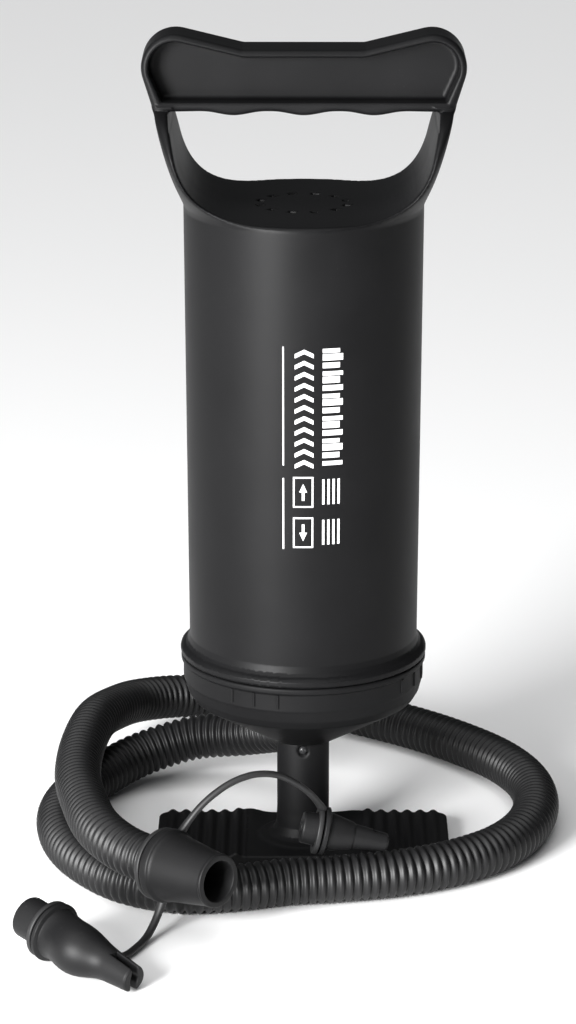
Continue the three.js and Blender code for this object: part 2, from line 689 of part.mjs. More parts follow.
// The hose falls to the floor behind the post, goes round in front, and comes back over itself on the left.
const onFloor = hoseRadius;
const onHose = 3 * hoseRadius + 0.1;
const connectorStart = [-47.5, -78.3, onHose - 0.2];
const connectorAim = new THREE.Vector3(0.725, -0.685, 0.045).normalize().toArray();
const along = (distance) => connectorStart.map((v, i) => v + connectorAim[i] * distance);
const hosePoints = [
  [0, cuffEnd + seatGap, portHeight], [0, cuffEnd + 5.2, portHeight], [-1.6, 40, portHeight - 2.5],
  [-7.5, 51.5, portHeight - 8.1], [-22, 64, onFloor + 12.5], [-42, 69.5, onFloor + 8.5],
  [-62, 64, onFloor + 3.7], [-77, 49, onFloor + 0.3], [-86, 29, onFloor], [-89, 9, onFloor],
  [-85.5, -15, onFloor], [-76.5, -34.5, onFloor], [-62, -51.5, onFloor], [-42.9, -60, onFloor],
  [-25, -58.5, onFloor], [-6, -53, onFloor], [14, -49.5, onFloor], [35, -44, onFloor], [54, -34.5, onFloor],
  [70, -20.5, onFloor], [81, -1, onFloor], [86, 22, onFloor], [84, 46, onFloor], [75, 68, onFloor],
  [58, 90, onFloor], [36, 110, onFloor], [10, 126, onFloor + 0.4], [-20, 131, onFloor + 2],
  [-46, 127, onFloor + 4.9], [-64, 112, onFloor + 8.5], [-73, 90, onHose - 4.1], [-78.5, 66, onHose],
  [-81.5, 43, onHose + 0.4], [-82.5, 20, onHose], [-81.5, 0, onHose], [-78, -21, onHose],
  [-73, -42, onHose], [-67, -56, onHose], [-59.6, -66.6, onHose - 0.4], along(-5), connectorStart,
];
add(hoseEnd, 'hose', cord(hosePoints, hoseRadius, hoseSides, hoseSteps), hoseBlack);

// ---------------------------------------------------------------- connector, tether and adapters

/** The connector on the hose's end: a collar, a cone and an open mouth. */
function hoseConnector() {
  const collar = hoseRadius + 4.4;
  const seat = hoseRadius + 0.4;
  return turned([
    [seat, 0], [collar, 0], [collar, 3.2], [collar - 0.7, 3.8], [9.1, 24.8], [9.3, 25.4], [9, 26], [7, 26],
    [7, 11], [5.6, 9], [5.6, 3], [seat, 3],
  ], smallRoundSides);
}
add(hoseEnd, 'hose_connector', aimed(hoseConnector(), along(seatGap), connectorAim), matteBlack);

/** The ring on the hose, behind the connector's collar, that both tethers hang from. */
const ringOuter = hoseRadius + 4.1;
const tetherRing = washer(hoseRadius + 1.2, ringOuter, -2.4, -0.6, smallRoundSides);
add(hoseEnd, 'tether_ring', aimed(tetherRing, along(seatGap), connectorAim), softBlack);

/** The small adapter: plug, flange, cone and a thinner cone with a slotted tip. */
function smallAdapter() {
  const body = turned([
    [0, 0], [5.6, 0], [5.8, 7], [8.5, 7.3], [8.5, 9], [7, 9.4], [4.9, 18], [4.4, 18.6], [3.1, 31], [0, 31],
  ], smallRoundSides);
  const slot = block([-1, -5, 24.5], [1, 5, 32]);
  return body.subtract(slot.add(bar(1.7, -1, 32, holeSides)));
}

/** The large adapter: plug, flange, and a cone that draws in to a slotted tip. */
function largeAdapter() {
  const body = turned([
    [0, 0], [7.3, 0], [7.3, 12.4], [10.4, 12.7], [10.4, 14.4], [8.6, 15], [7.9, 20], [6.6, 30], [5.4, 42],
    [4.7, 53], [0, 53],
  ], smallRoundSides);
  const slot = block([-1.5, -6, 42], [1.5, 6, 54]);
  return body.subtract(slot.add(bar(1.9, -1, 54, holeSides)));
}

const smallAdapterStart = [-0.5, -48, onHose + 1.8];
const smallAdapterAim = [29.5, 1.6, -6.4];
const largeAdapterStart = [-93.6, -93.3, 12.5];
const largeAdapterAim = [37.8, -36.4, -7.3];
const bellyRadius = 9;
const bellyCentre = [-75, -116.4, bellyRadius + 0.3];
const belly = solid(new THREE.SphereGeometry(bellyRadius, 14, 10).translate(...bellyCentre))
  .subtract(aimed(bar(1.9, 0, 54, holeSides), largeAdapterStart, largeAdapterAim));
const largeBody = aimed(largeAdapter(), largeAdapterStart, largeAdapterAim).add(belly);
add(hoseEnd, 'small_adapter', aimed(smallAdapter(), smallAdapterStart, smallAdapterAim), matteBlack);
add(hoseEnd, 'large_adapter', largeBody, matteBlack);

// Each tether hangs from the hose ring and is one moulding with the eye round its adapter's plug.
const eyeWidth = 1.8;
const smallEyeStart = 4.9;
const largeEyeStart = 10.3;
const ringMiddle = along(-1.2);
const smallTetherPoints = [
  [ringMiddle[0] + 6.9, ringMiddle[1] + 7.8, ringMiddle[2] + 0.77 * ringOuter], [-38.6, -69.6, 39],
  [-35, -68.6, 43.2], [-30.5, -67.2, 47], [-24.5, -65, 50.4], [-17, -62.2, 52.2], [-9, -59.4, 51],
  [-2, -56.6, 46.6], [3, -52.8, 41], [6.8, -48, 34.2],
];
const largeTetherPoints = [
  [ringMiddle[0] + 0.4, ringMiddle[1] - 0.4, ringMiddle[2] - ringOuter - 1.5], [-50.4, -81.2, 6.6],
  [-53.2, -86.6, 2.6], [-56.6, -95, 1.9], [-61, -102.4, 1.9], [-66.4, -103.2, 1.9], [-70.5, -98, 1.9],
  [-74.6, -93.4, 1.9], [-79.2, -92.3, 2.6], [-82.2, -95.3, 5],
];
const smallEye = washer(6.1, 8.6, smallEyeStart, smallEyeStart + eyeWidth, smallRoundSides);
const largeEye = washer(7.6, 10.2, largeEyeStart, largeEyeStart + eyeWidth, smallRoundSides);
add(hoseEnd, 'small_tether', cord(smallTetherPoints, tetherRadius, tetherSides, tetherSteps)
  .add(aimed(smallEye, smallAdapterStart, smallAdapterAim)), softBlack);
add(hoseEnd, 'large_tether', cord(largeTetherPoints, tetherRadius, tetherSides, tetherSteps)
  .add(aimed(largeEye, largeAdapterStart, largeAdapterAim)), softBlack);

export default group;
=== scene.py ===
"""Double action hand pump in black plastic: the looks of every piece, in metres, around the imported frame."""
import math

import bpy
import numpy as np
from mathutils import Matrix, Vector


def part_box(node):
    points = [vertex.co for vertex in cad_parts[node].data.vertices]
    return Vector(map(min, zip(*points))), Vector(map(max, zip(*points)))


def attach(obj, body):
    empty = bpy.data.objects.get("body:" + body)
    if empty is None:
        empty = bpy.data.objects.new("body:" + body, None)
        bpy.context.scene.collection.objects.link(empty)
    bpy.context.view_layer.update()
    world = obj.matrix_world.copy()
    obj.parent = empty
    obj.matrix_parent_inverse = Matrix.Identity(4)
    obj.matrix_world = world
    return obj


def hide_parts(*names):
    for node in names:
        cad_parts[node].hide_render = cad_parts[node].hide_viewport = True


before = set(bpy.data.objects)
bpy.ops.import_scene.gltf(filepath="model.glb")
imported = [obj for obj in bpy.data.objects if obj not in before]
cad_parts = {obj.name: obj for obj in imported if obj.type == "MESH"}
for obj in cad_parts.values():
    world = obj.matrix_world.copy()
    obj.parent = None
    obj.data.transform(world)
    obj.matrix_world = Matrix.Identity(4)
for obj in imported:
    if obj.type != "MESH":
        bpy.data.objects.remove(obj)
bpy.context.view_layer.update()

# ------------------------------------------------------------------ camera
# A long lens in front of the pump, a little above it, looking down on the foot and the hose.

camera_data = bpy.data.cameras.new("camera")
camera_data.lens = 134.16
camera_data.sensor_width = 36.0
camera = bpy.data.objects.new("camera", camera_data)
camera.location = (0.0, -1.2954, 0.5211)
camera.rotation_euler = (math.radians(73.12), 0.0, math.radians(0.2417))
bpy.context.scene.collection.objects.link(camera)
bpy.context.scene.camera = camera
bpy.context.scene.view_settings.view_transform = "Standard"

# ------------------------------------------------------------------ hose
# A corrugated hose of soft black plastic, 17 mm across its ribs, blown in one length. It leaves the port
# behind the post, falls to the floor, goes once round the foot and comes back over itself on the left,
# where the connector is pushed on.

HOSE_RADIUS = 0.0085
HOSE_VALLEY = 0.0073
HOSE_PITCH = 0.0031
PORT_HEIGHT = 0.0355
FLOOR_RUN = HOSE_RADIUS
UPPER_RUN = 3 * HOSE_RADIUS + 0.0001
CONNECTOR_START = np.array([-0.0475, -0.0783, UPPER_RUN - 0.0002])
CONNECTOR_AIM = np.array([0.725, -0.685, 0.045]) / math.sqrt(0.725 ** 2 + 0.685 ** 2 + 0.045 ** 2)
HOSE_ROUTE = np.array([
    (0, 0.0268, PORT_HEIGHT), (0, 0.0317, PORT_HEIGHT), (-0.0016, 0.040, PORT_HEIGHT - 0.0025),
    (-0.0075, 0.0515, PORT_HEIGHT - 0.0081), (-0.022, 0.064, FLOOR_RUN + 0.0125),
    (-0.042, 0.0695, FLOOR_RUN + 0.0085), (-0.062, 0.064, FLOOR_RUN + 0.0037),
    (-0.077, 0.049, FLOOR_RUN + 0.0003), (-0.086, 0.029, FLOOR_RUN), (-0.089, 0.009, FLOOR_RUN),
    (-0.0855, -0.015, FLOOR_RUN), (-0.0765, -0.0345, FLOOR_RUN), (-0.062, -0.0515, FLOOR_RUN),
    (-0.0429, -0.060, FLOOR_RUN), (-0.025, -0.0585, FLOOR_RUN), (-0.006, -0.053, FLOOR_RUN),
    (0.014, -0.0495, FLOOR_RUN), (0.035, -0.044, FLOOR_RUN), (0.054, -0.0345, FLOOR_RUN),
    (0.070, -0.0205, FLOOR_RUN), (0.081, -0.001, FLOOR_RUN), (0.086, 0.022, FLOOR_RUN),
    (0.084, 0.046, FLOOR_RUN), (0.075, 0.068, FLOOR_RUN), (0.058, 0.090, FLOOR_RUN),
    (0.036, 0.110, FLOOR_RUN), (0.010, 0.126, FLOOR_RUN + 0.0004), (-0.020, 0.131, FLOOR_RUN + 0.002),
    (-0.046, 0.127, FLOOR_RUN + 0.0049), (-0.064, 0.112, FLOOR_RUN + 0.0085),
    (-0.073, 0.090, UPPER_RUN - 0.0041), (-0.0785, 0.066, UPPER_RUN), (-0.0815, 0.043, UPPER_RUN + 0.0004),
    (-0.0825, 0.020, UPPER_RUN), (-0.0815, 0, UPPER_RUN), (-0.078, -0.021, UPPER_RUN),
    (-0.073, -0.042, UPPER_RUN), (-0.067, -0.056, UPPER_RUN), (-0.0596, -0.0666, UPPER_RUN - 0.0004),
    tuple(CONNECTOR_START - 0.005 * CONNECTOR_AIM), tuple(CONNECTOR_START),
])


def smooth_route(points, spacing):
    """A centripetal Catmull-Rom curve through the points, then points at even arc lengths along it.

    Between two points the curve is the blend of the blends of the four lines through its four
    neighbours, each weighted by a knot that grows with the square root of the chord."""
    p = np.vstack([2 * points[0] - points[1], points, 2 * points[-1] - points[-2]])
    knot = np.concatenate([[0], np.cumsum(np.sqrt(np.linalg.norm(np.diff(p, axis=0), axis=1)))])
    s = np.linspace(0, 1, 24, endpoint=False)[None, :, None]
    k = [knot[i:len(knot) - 3 + i][:, None, None] for i in range(4)]
    q = [p[i:len(p) - 3 + i][:, None, :] for i in range(4)]
    t = k[1] + (k[2] - k[1]) * s
    a = [(k[i + 1] - t) / (k[i + 1] - k[i]) * q[i] + (t - k[i]) / (k[i + 1] - k[i]) * q[i + 1]
         for i in range(3)]
    b = [(k[i + 2] - t) / (k[i + 2] - k[i]) * a[i] + (t - k[i]) / (k[i + 2] - k[i]) * a[i + 1]
         for i in range(2)]
    curve = ((k[2] - t) / (k[2] - k[1]) * b[0] + (t - k[1]) / (k[2] - k[1]) * b[1]).reshape(-1, 3)
    curve = np.vstack([curve, points[-1]])
    run = np.concatenate([[0], np.cumsum(np.linalg.norm(np.diff(curve, axis=0), axis=1))])
    even = np.linspace(0, run[-1], max(3, int(round(run[-1] / spacing)) + 1))
    return np.stack([np.interp(even, run, curve[:, i]) for i in range(3)], axis=1)


def piece(name, vertices, faces, material, body, sharp=35.0):
    """One finished piece: a mesh from arrays of vertices and quads, smooth but for edges past an angle."""
    mesh = bpy.data.meshes.new(name)
    mesh.from_pydata(np.asarray(vertices, float).tolist(), [], [tuple(f) for f in faces])
    mesh.validate()
    mesh.polygons.foreach_set("use_smooth", np.ones(len(mesh.polygons), bool))
    if sharp is not None:
        mesh.set_sharp_from_angle(angle=math.radians(sharp))
    mesh.materials.append(material)
    obj = bpy.data.objects.new(name, mesh)
    bpy.context.scene.collection.objects.link(obj)
    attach(obj, body)
    return obj


def swept(path, radius, sides, across=1.0):
    """A capped tube along a path: rings of points at radius times (cos a, sin a) in a frame carried
    along the path without twist, the second axis scaled by across. Gives its vertices and faces."""
    tangent = np.gradient(path, axis=0)
    tangent /= np.linalg.norm(tangent, axis=1)[:, None]
    first = np.cross(tangent[0], (0, 0, 1.0) if abs(tangent[0][2]) < 0.9 else (0, 1.0, 0))
    normal = np.empty_like(path)
    normal[0] = first / np.linalg.norm(first)
    for i in range(1, len(path)):
        carried = normal[i - 1] - tangent[i] * np.dot(normal[i - 1], tangent[i])
        normal[i] = carried / np.linalg.norm(carried)
    other = np.cross(tangent, normal)
    angle = np.linspace(0, 2 * np.pi, sides, endpoint=False)
    ring = (np.cos(angle)[None, :, None] * normal[:, None, :]
            + across * np.sin(angle)[None, :, None] * other[:, None, :])
    radii = np.broadcast_to(np.asarray(radius, float), (len(path),))
    vertices = path[:, None, :] + radii[:, None, None] * ring
    last = (len(path) - 1) * sides
    faces = grid_faces(len(path), sides).tolist()
    faces += [list(range(sides - 1, -1, -1)), list(range(last, last + sides))]
    return vertices.reshape(-1, 3), faces


def grid_faces(rows, columns):
    """The quads of a grid of points numbered row by row, its last column joined to its first."""
    i = np.arange(rows - 1)[:, None]
    j = np.arange(columns)[None, :]
    nxt = (j + 1) % columns
    quads = np.stack([i * columns + j, i * columns + nxt, (i + 1) * columns + nxt, (i + 1) * columns + j], -1)
    return quads.reshape(-1, 4)


def plastic_surface():
    """The skin of a moulded plastic: a fine grain, a faint cloudiness in shine and tone, and pale specks."""
    group = bpy.data.node_groups.new("plastic_surface", "ShaderNodeTree")
    face = group.interface
    for label, kind, value in (
            ("Vector", "NodeSocketVector", None), ("Colour", "NodeSocketColor", (0.02, 0.02, 0.02, 1)),
            ("Roughness", "NodeSocketFloat", 0.4), ("Grain size", "NodeSocketFloat", 3000.0),
            ("Grain depth", "NodeSocketFloat", 0.3), ("Cloud", "NodeSocketFloat", 0.08),
            ("Dust", "NodeSocketFloat", 0.3)):
        socket = face.new_socket(label, in_out="INPUT", socket_type=kind)
        if value is not None:
            socket.default_value = value
    face.new_socket("Colour", in_out="OUTPUT", socket_type="NodeSocketColor")
    face.new_socket("Roughness", in_out="OUTPUT", socket_type="NodeSocketFloat")
    face.new_socket("Height", in_out="OUTPUT", socket_type="NodeSocketFloat")
    nodes, links = group.nodes, group.links
    start = nodes.new("NodeGroupInput")
    end = nodes.new("NodeGroupOutput")
    grain = nodes.new("ShaderNodeTexNoise")
    grain.inputs["Detail"].default_value = 2.0
    links.new(start.outputs["Vector"], grain.inputs["Vector"])
    links.new(start.outputs["Grain size"], grain.inputs["Scale"])
    cloud = nodes.new("ShaderNodeTexNoise")
    cloud.inputs["Scale"].default_value = 45.0
    cloud.inputs["Detail"].default_value = 4.0
    links.new(start.outputs["Vector"], cloud.inputs["Vector"])
    speck = nodes.new("ShaderNodeTexVoronoi")
    speck.inputs["Scale"].default_value = 420.0
    links.new(start.outputs["Vector"], speck.inputs["Vector"])
    keep = nodes.new("ShaderNodeMapRange")
    keep.inputs["From Min"].default_value = 0.0
    keep.inputs["From Max"].default_value = 0.12
    keep.inputs["To Min"].default_value = 1.0
    keep.inputs["To Max"].default_value = 0.0
    links.new(speck.outputs["Distance"], keep.inputs["Value"])
    rare = nodes.new("ShaderNodeMapRange")
    rare.inputs["From Min"].default_value = 0.56
    rare.inputs["From Max"].default_value = 0.66
    links.new(cloud.outputs["Fac"], rare.inputs["Value"])
    dust = nodes.new("ShaderNodeMath")
    dust.operation = "MULTIPLY"
    links.new(keep.outputs["Result"], dust.inputs[0])
    links.new(rare.outputs["Result"], dust.inputs[1])
    amount = nodes.new("ShaderNodeMath")
    amount.operation = "MULTIPLY"
    links.new(dust.outputs[0], amount.inputs[0])
    links.new(start.outputs["Dust"], amount.inputs[1])
    shift = nodes.new("ShaderNodeMapRange")
    shift.inputs["From Min"].default_value = 0.3
    shift.inputs["From Max"].default_value = 0.7
    shift.inputs["To Min"].default_value = 0.86
    shift.inputs["To Max"].default_value = 1.14
    links.new(cloud.outputs["Fac"], shift.inputs["Value"])
    tone = nodes.new("ShaderNodeMix")
    tone.data_type = "RGBA"
    tone.blend_type = "MULTIPLY"
    tone.inputs[0].default_value = 1.0
    links.new(start.outputs["Colour"], tone.inputs[6])
    links.new(shift.outputs["Result"], tone.inputs[7])
    dusty = nodes.new("ShaderNodeMix")
    dusty.data_type = "RGBA"
    dusty.inputs[7].default_value = (0.3, 0.29, 0.28, 1)
    links.new(amount.outputs[0], dusty.inputs[0])
    links.new(tone.outputs[2], dusty.inputs[6])
    links.new(dusty.outputs[2], end.inputs["Colour"])
    swing = nodes.new("ShaderNodeMath")
    swing.operation = "SUBTRACT"
    swing.inputs[1].default_value = 0.5
    links.new(cloud.outputs["Fac"], swing.inputs[0])
    wide = nodes.new("ShaderNodeMath")
    wide.operation = "MULTIPLY_ADD"
    links.new(swing.outputs[0], wide.inputs[0])
    links.new(start.outputs["Cloud"], wide.inputs[1])
    links.new(start.outputs["Roughness"], wide.inputs[2])
    links.new(wide.outputs[0], end.inputs["Roughness"])
    height = nodes.new("ShaderNodeMath")
    height.operation = "MULTIPLY"
    links.new(grain.outputs["Fac"], height.inputs[0])
    links.new(start.outputs["Grain depth"], height.inputs[1])
    links.new(height.outputs[0], end.inputs["Height"])
    return group


PLASTIC_SURFACE = plastic_surface()


def plastic(name, colour, roughness, grain_size, grain_depth, cloud=0.08, dust=0.3, specular=0.5):
    """A plastic with the skin above. Grain size is in grains a metre; grain depth runs from 0 to 1."""
    material = bpy.data.materials.new(name)
    material.use_nodes = True
    nodes, links = material.node_tree.nodes, material.node_tree.links
    shader = nodes["Principled BSDF"]
    shader.inputs["Specular IOR Level"].default_value = specular
    place = nodes.new("ShaderNodeTexCoord")
    skin = nodes.new("ShaderNodeGroup")
    skin.node_tree = PLASTIC_SURFACE
    skin.inputs["Colour"].default_value = (*colour, 1)
    skin.inputs["Roughness"].default_value = roughness
    skin.inputs["Grain size"].default_value = grain_size
    skin.inputs["Grain depth"].default_value = grain_depth
    skin.inputs["Cloud"].default_value = cloud
    skin.inputs["Dust"].default_value = dust
    bump = nodes.new("ShaderNodeBump")
    bump.inputs["Distance"].default_value = 0.00006
    links.new(place.outputs["Object"], skin.inputs["Vector"])
    links.new(skin.outputs["Colour"], shader.inputs["Base Color"])
    links.new(skin.outputs["Roughness"], shader.inputs["Roughness"])
    links.new(skin.outputs["Height"], bump.inputs["Height"])
    links.new(bump.outputs["Normal"], shader.inputs["Normal"])
    return material


def corrugation(run):
    """Radius along the hose: in each pitch a cosine wave whose crest is made wider than its valley."""
    wave = 0.5 + 0.5 * np.cos(2 * np.pi * run / HOSE_PITCH)
    return HOSE_VALLEY + (HOSE_RADIUS - HOSE_VALLEY) * wave ** 0.62


DULL_BLACK = (0.006, 0.006, 0.0063)
hose_black = plastic("hose_plastic", DULL_BLACK, 0.44, 5200.0, 0.25, cloud=0.14, dust=0.16, specular=0.3)
POINTS_PER_RIB = 8
HOSE_SIDES = 36
hose_path = smooth_route(HOSE_ROUTE, HOSE_PITCH / POINTS_PER_RIB)
hose_length = float(np.linalg.norm(np.diff(hose_path, axis=0), axis=1).sum())
hose_run = np.linspace(0, hose_length, len(hose_path))
hose_vertices, hose_faces = swept(hose_path, corrugation(hose_run), HOSE_SIDES)
hose = piece("hose_corrugated", hose_vertices, hose_faces, hose_black, "base", sharp=None)
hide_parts("hose")

# ------------------------------------------------------------------ hose cuff
# The plain end of the hose: a short smooth sleeve with one raised ring, pushed over the port's spigot.

cuff_low, cuff_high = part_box("hose_cuff")
CUFF_RADIUS = (cuff_high.x - cuff_low.x) / 2


def turned(profile, sides, start=(0, 0, 0), aim=(0, 0, 1), closed=False):
    """A surface of revolution about a line: each profile point (along, radius) becomes a ring of
    points at radius times (cos a, sin a). closed joins the last ring to the first."""
    profile = np.asarray(profile, float)
    aim = np.asarray(aim, float) / np.linalg.norm(aim)
    side = np.cross(aim, (0, 0, 1.0) if abs(aim[2]) < 0.9 else (0, 1.0, 0))
    side /= np.linalg.norm(side)
    up = np.cross(side, aim)
    angle = np.linspace(0, 2 * np.pi, sides, endpoint=False)
    along = np.broadcast_to(profile[:, :1], (len(profile), sides))
    radius = np.broadcast_to(profile[:, 1:], (len(profile), sides))
    points = (np.asarray(start, float) + along[..., None] * aim
              + radius[..., None] * (np.cos(angle)[None, :, None] * side + np.sin(angle)[None, :, None] * up))
    rows = len(profile)
    faces = grid_faces(rows, sides)[:, ::-1].tolist()
    if closed:
        last = (rows - 1) * sides
        j = np.arange(sides)
        nxt = (j + 1) % sides
        faces += np.stack([last + j, j, nxt, last + nxt], -1)[:, ::-1].tolist()
    return points.reshape(-1, 3), faces


def rounded(corners, radius, steps=4):
    """A profile whose corners are eased: each inner corner becomes the curve that leaves one side a
    radius before the corner and joins the other a radius after it, as a quadratic blend."""
    p = np.asarray(corners, float)
    before, corner, after = p[:-2], p[1:-1], p[2:]
    to_before, to_after = before - corner, after - corner
    reach_before = np.minimum(radius, 0.45 * np.linalg.norm(to_before, axis=1))[:, None]
    reach_after = np.minimum(radius, 0.45 * np.linalg.norm(to_after, axis=1))[:, None]
    a = corner + to_before / np.linalg.norm(to_before, axis=1)[:, None] * reach_before
    b = corner + to_after / np.linalg.norm(to_after, axis=1)[:, None] * reach_after
    t = np.linspace(0, 1, steps)[None, :, None]
    curve = (1 - t) ** 2 * a[:, None] + 2 * t * (1 - t) * corner[:, None] + t ** 2 * b[:, None]
    return np.vstack([p[:1], curve.reshape(-1, 2), p[-1:]])


cuff_plastic = plastic("cuff_plastic", (0.018, 0.018, 0.019), 0.42, 4200.0, 0.3)
cuff_profile = rounded([
    (cuff_low.y, 0.0066), (cuff_low.y, CUFF_RADIUS - 0.0004), (cuff_low.y + 0.0018, CUFF_RADIUS),
    (cuff_low.y + 0.0042, CUFF_RADIUS), (cuff_low.y + 0.0046, CUFF_RADIUS - 0.0007),
    (cuff_high.y - 0.0016, CUFF_RADIUS - 0.0009), (cuff_high.y, CUFF_RADIUS - 0.0012), (cuff_high.y, 0.0066),
], 0.0004)
cuff_vertices, cuff_faces = turned(cuff_profile, 72, (0, 0, PORT_HEIGHT), (0, 1, 0), closed=True)
cuff = piece("hose_sleeve", cuff_vertices, cuff_faces, cuff_plastic, "base")
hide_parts("hose_cuff")

# ------------------------------------------------------------------ connector
# A moulded cone pushed on the hose's end: a round collar, a cone, and a mouth that the adapters plug into.

connector_plastic = plastic("connector_plastic", DULL_BLACK, 0.5, 3600.0, 0.7, cloud=0.12, dust=0.15,
                            specular=0.17)
CONNECTOR_SEAT = CONNECTOR_START + 0.0003 * CONNECTOR_AIM
COLLAR_RADIUS = 0.0129
connector_profile = rounded([
    (0.0030, 0.0089), (0, 0.0089), (0, COLLAR_RADIUS - 0.0005), (0.0005, COLLAR_RADIUS),
    (0.0032, COLLAR_RADIUS - 0.0001), (0.0038, COLLAR_RADIUS - 0.0008), (0.0046, 0.0118), (0.0247, 0.0091),
    (0.0253, 0.0094), (0.0260, 0.0091), (0.0260, 0.0071), (0.0110, 0.0070),
    (0.0090, 0.0056), (0.0030, 0.0056), (0.0030, 0.0089),
], 0.0005, 5)
connector_vertices, connector_faces = turned(connector_profile, 120, CONNECTOR_SEAT, CONNECTOR_AIM)
connector = piece("connector_cone", connector_vertices, connector_faces, connector_plastic, "base")
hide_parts("hose_connector")

# ------------------------------------------------------------------ tether ring and tethers
# A soft plastic ring that sits on the hose behind the collar, with two straps moulded to it. Each strap
# ends in an eye round the plug of one adapter.

soft_plastic = plastic("strap_plastic", (0.009, 0.009, 0.0093), 0.52, 4800.0, 0.4, specular=0.4)
RING_OUTER = HOSE_RADIUS + 0.0041
ring_profile = rounded([
    (-0.0015, 0.0097), (-0.0024, 0.0097), (-0.0024, RING_OUTER), (-0.0006, RING_OUTER), (-0.0006, 0.0097),
    (-0.0015, 0.0097),
], 0.0005)
ring_vertices, ring_faces = turned(ring_profile, 96, CONNECTOR_SEAT, CONNECTOR_AIM)
ring = piece("strap_ring", ring_vertices, ring_faces, soft_plastic, "base")
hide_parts("tether_ring")

ring_middle = CONNECTOR_START - 0.0012 * CONNECTOR_AIM
SMALL_STRAP_ROUTE = np.array([
    ring_middle + (0.0066, 0.0073, 0.72 * RING_OUTER), (-0.0386, -0.0696, 0.039), (-0.035, -0.0686, 0.0432),
    (-0.0305, -0.0672, 0.047), (-0.0245, -0.065, 0.0504), (-0.017, -0.0622, 0.0522), (-0.009, -0.0594, 0.051),
    (-0.002, -0.0566, 0.0466), (0.003, -0.0528, 0.041), (0.0068, -0.048, 0.0342)])
LARGE_STRAP_ROUTE = np.array([
    ring_middle + (0.0004, -0.0004, -RING_OUTER), (-0.0504, -0.0812, 0.0066), (-0.0532, -0.0866, 0.0026),
    (-0.0566, -0.095, 0.0019), (-0.061, -0.1024, 0.0019), (-0.0664, -0.1032, 0.0019),
    (-0.0705, -0.098, 0.0019), (-0.0746, -0.0934, 0.0019), (-0.0792, -0.0923, 0.0026),
    (-0.0822, -0.0953, 0.005)])
STRAP_RADIUS = 0.0015


def strap(name, route, node, eye_start, eye_aim, eye_at, eye_inner, eye_outer):
    """A strap with its eye. The strap is a flattened tube on its route, thicker where it leaves the
    ring and where it meets the eye; the eye is a small rounded ring about the plug's axis."""
    path = smooth_route(route, 0.0008)
    share = np.linspace(0, 1, len(path))
    swell = 1 + 0.22 * np.exp(-(share / 0.05) ** 2) + 0.25 * np.exp(-((1 - share) / 0.05) ** 2)
    vertices, faces = swept(path, STRAP_RADIUS * 0.98 * swell, 20, across=0.8)
    profile = rounded([
        (eye_at + 0.0009, eye_inner), (eye_at, eye_inner), (eye_at, eye_outer), (eye_at + 0.0018, eye_outer),
        (eye_at + 0.0018, eye_inner), (eye_at + 0.0009, eye_inner)], 0.0005)
    obj = piece(name, vertices, faces, soft_plastic, "base")
    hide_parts(node)
    eye_vertices, eye_faces = turned(profile, 80, eye_start, eye_aim)
    return obj, piece(name + "_eye", eye_vertices, eye_faces, soft_plastic, "base"), path


SMALL_ADAPTER_START = np.array([-0.0005, -0.048, UPPER_RUN + 0.0018])
SMALL_ADAPTER_AIM = np.array([29.5, 1.6, -6.4]) / math.sqrt(29.5 ** 2 + 1.6 ** 2 + 6.4 ** 2)
LARGE_ADAPTER_START = np.array([-0.0936, -0.0933, 0.0125])
LARGE_ADAPTER_AIM = np.array([37.8, -36.4, -7.3]) / math.sqrt(37.8 ** 2 + 36.4 ** 2 + 7.3 ** 2)
small_strap, small_eye, small_strap_path = strap(
    "small_strap", SMALL_STRAP_ROUTE, "small_tether", SMALL_ADAPTER_START, SMALL_ADAPTER_AIM, 0.0049,
    0.0061, 0.0086)
large_strap, large_eye, large_strap_path = strap(
    "large_strap", LARGE_STRAP_ROUTE, "large_tether", LARGE_ADAPTER_START, LARGE_ADAPTER_AIM, 0.0103,
    0.0076, 0.0102)

# ------------------------------------------------------------------ adapters
# Two nozzles for different valves, each one hard moulding: a plug, a flange, a cone that draws in, and a
# slotted tip. The small one rests on the hose; the large one, with a rounded belly, lies on the floor.


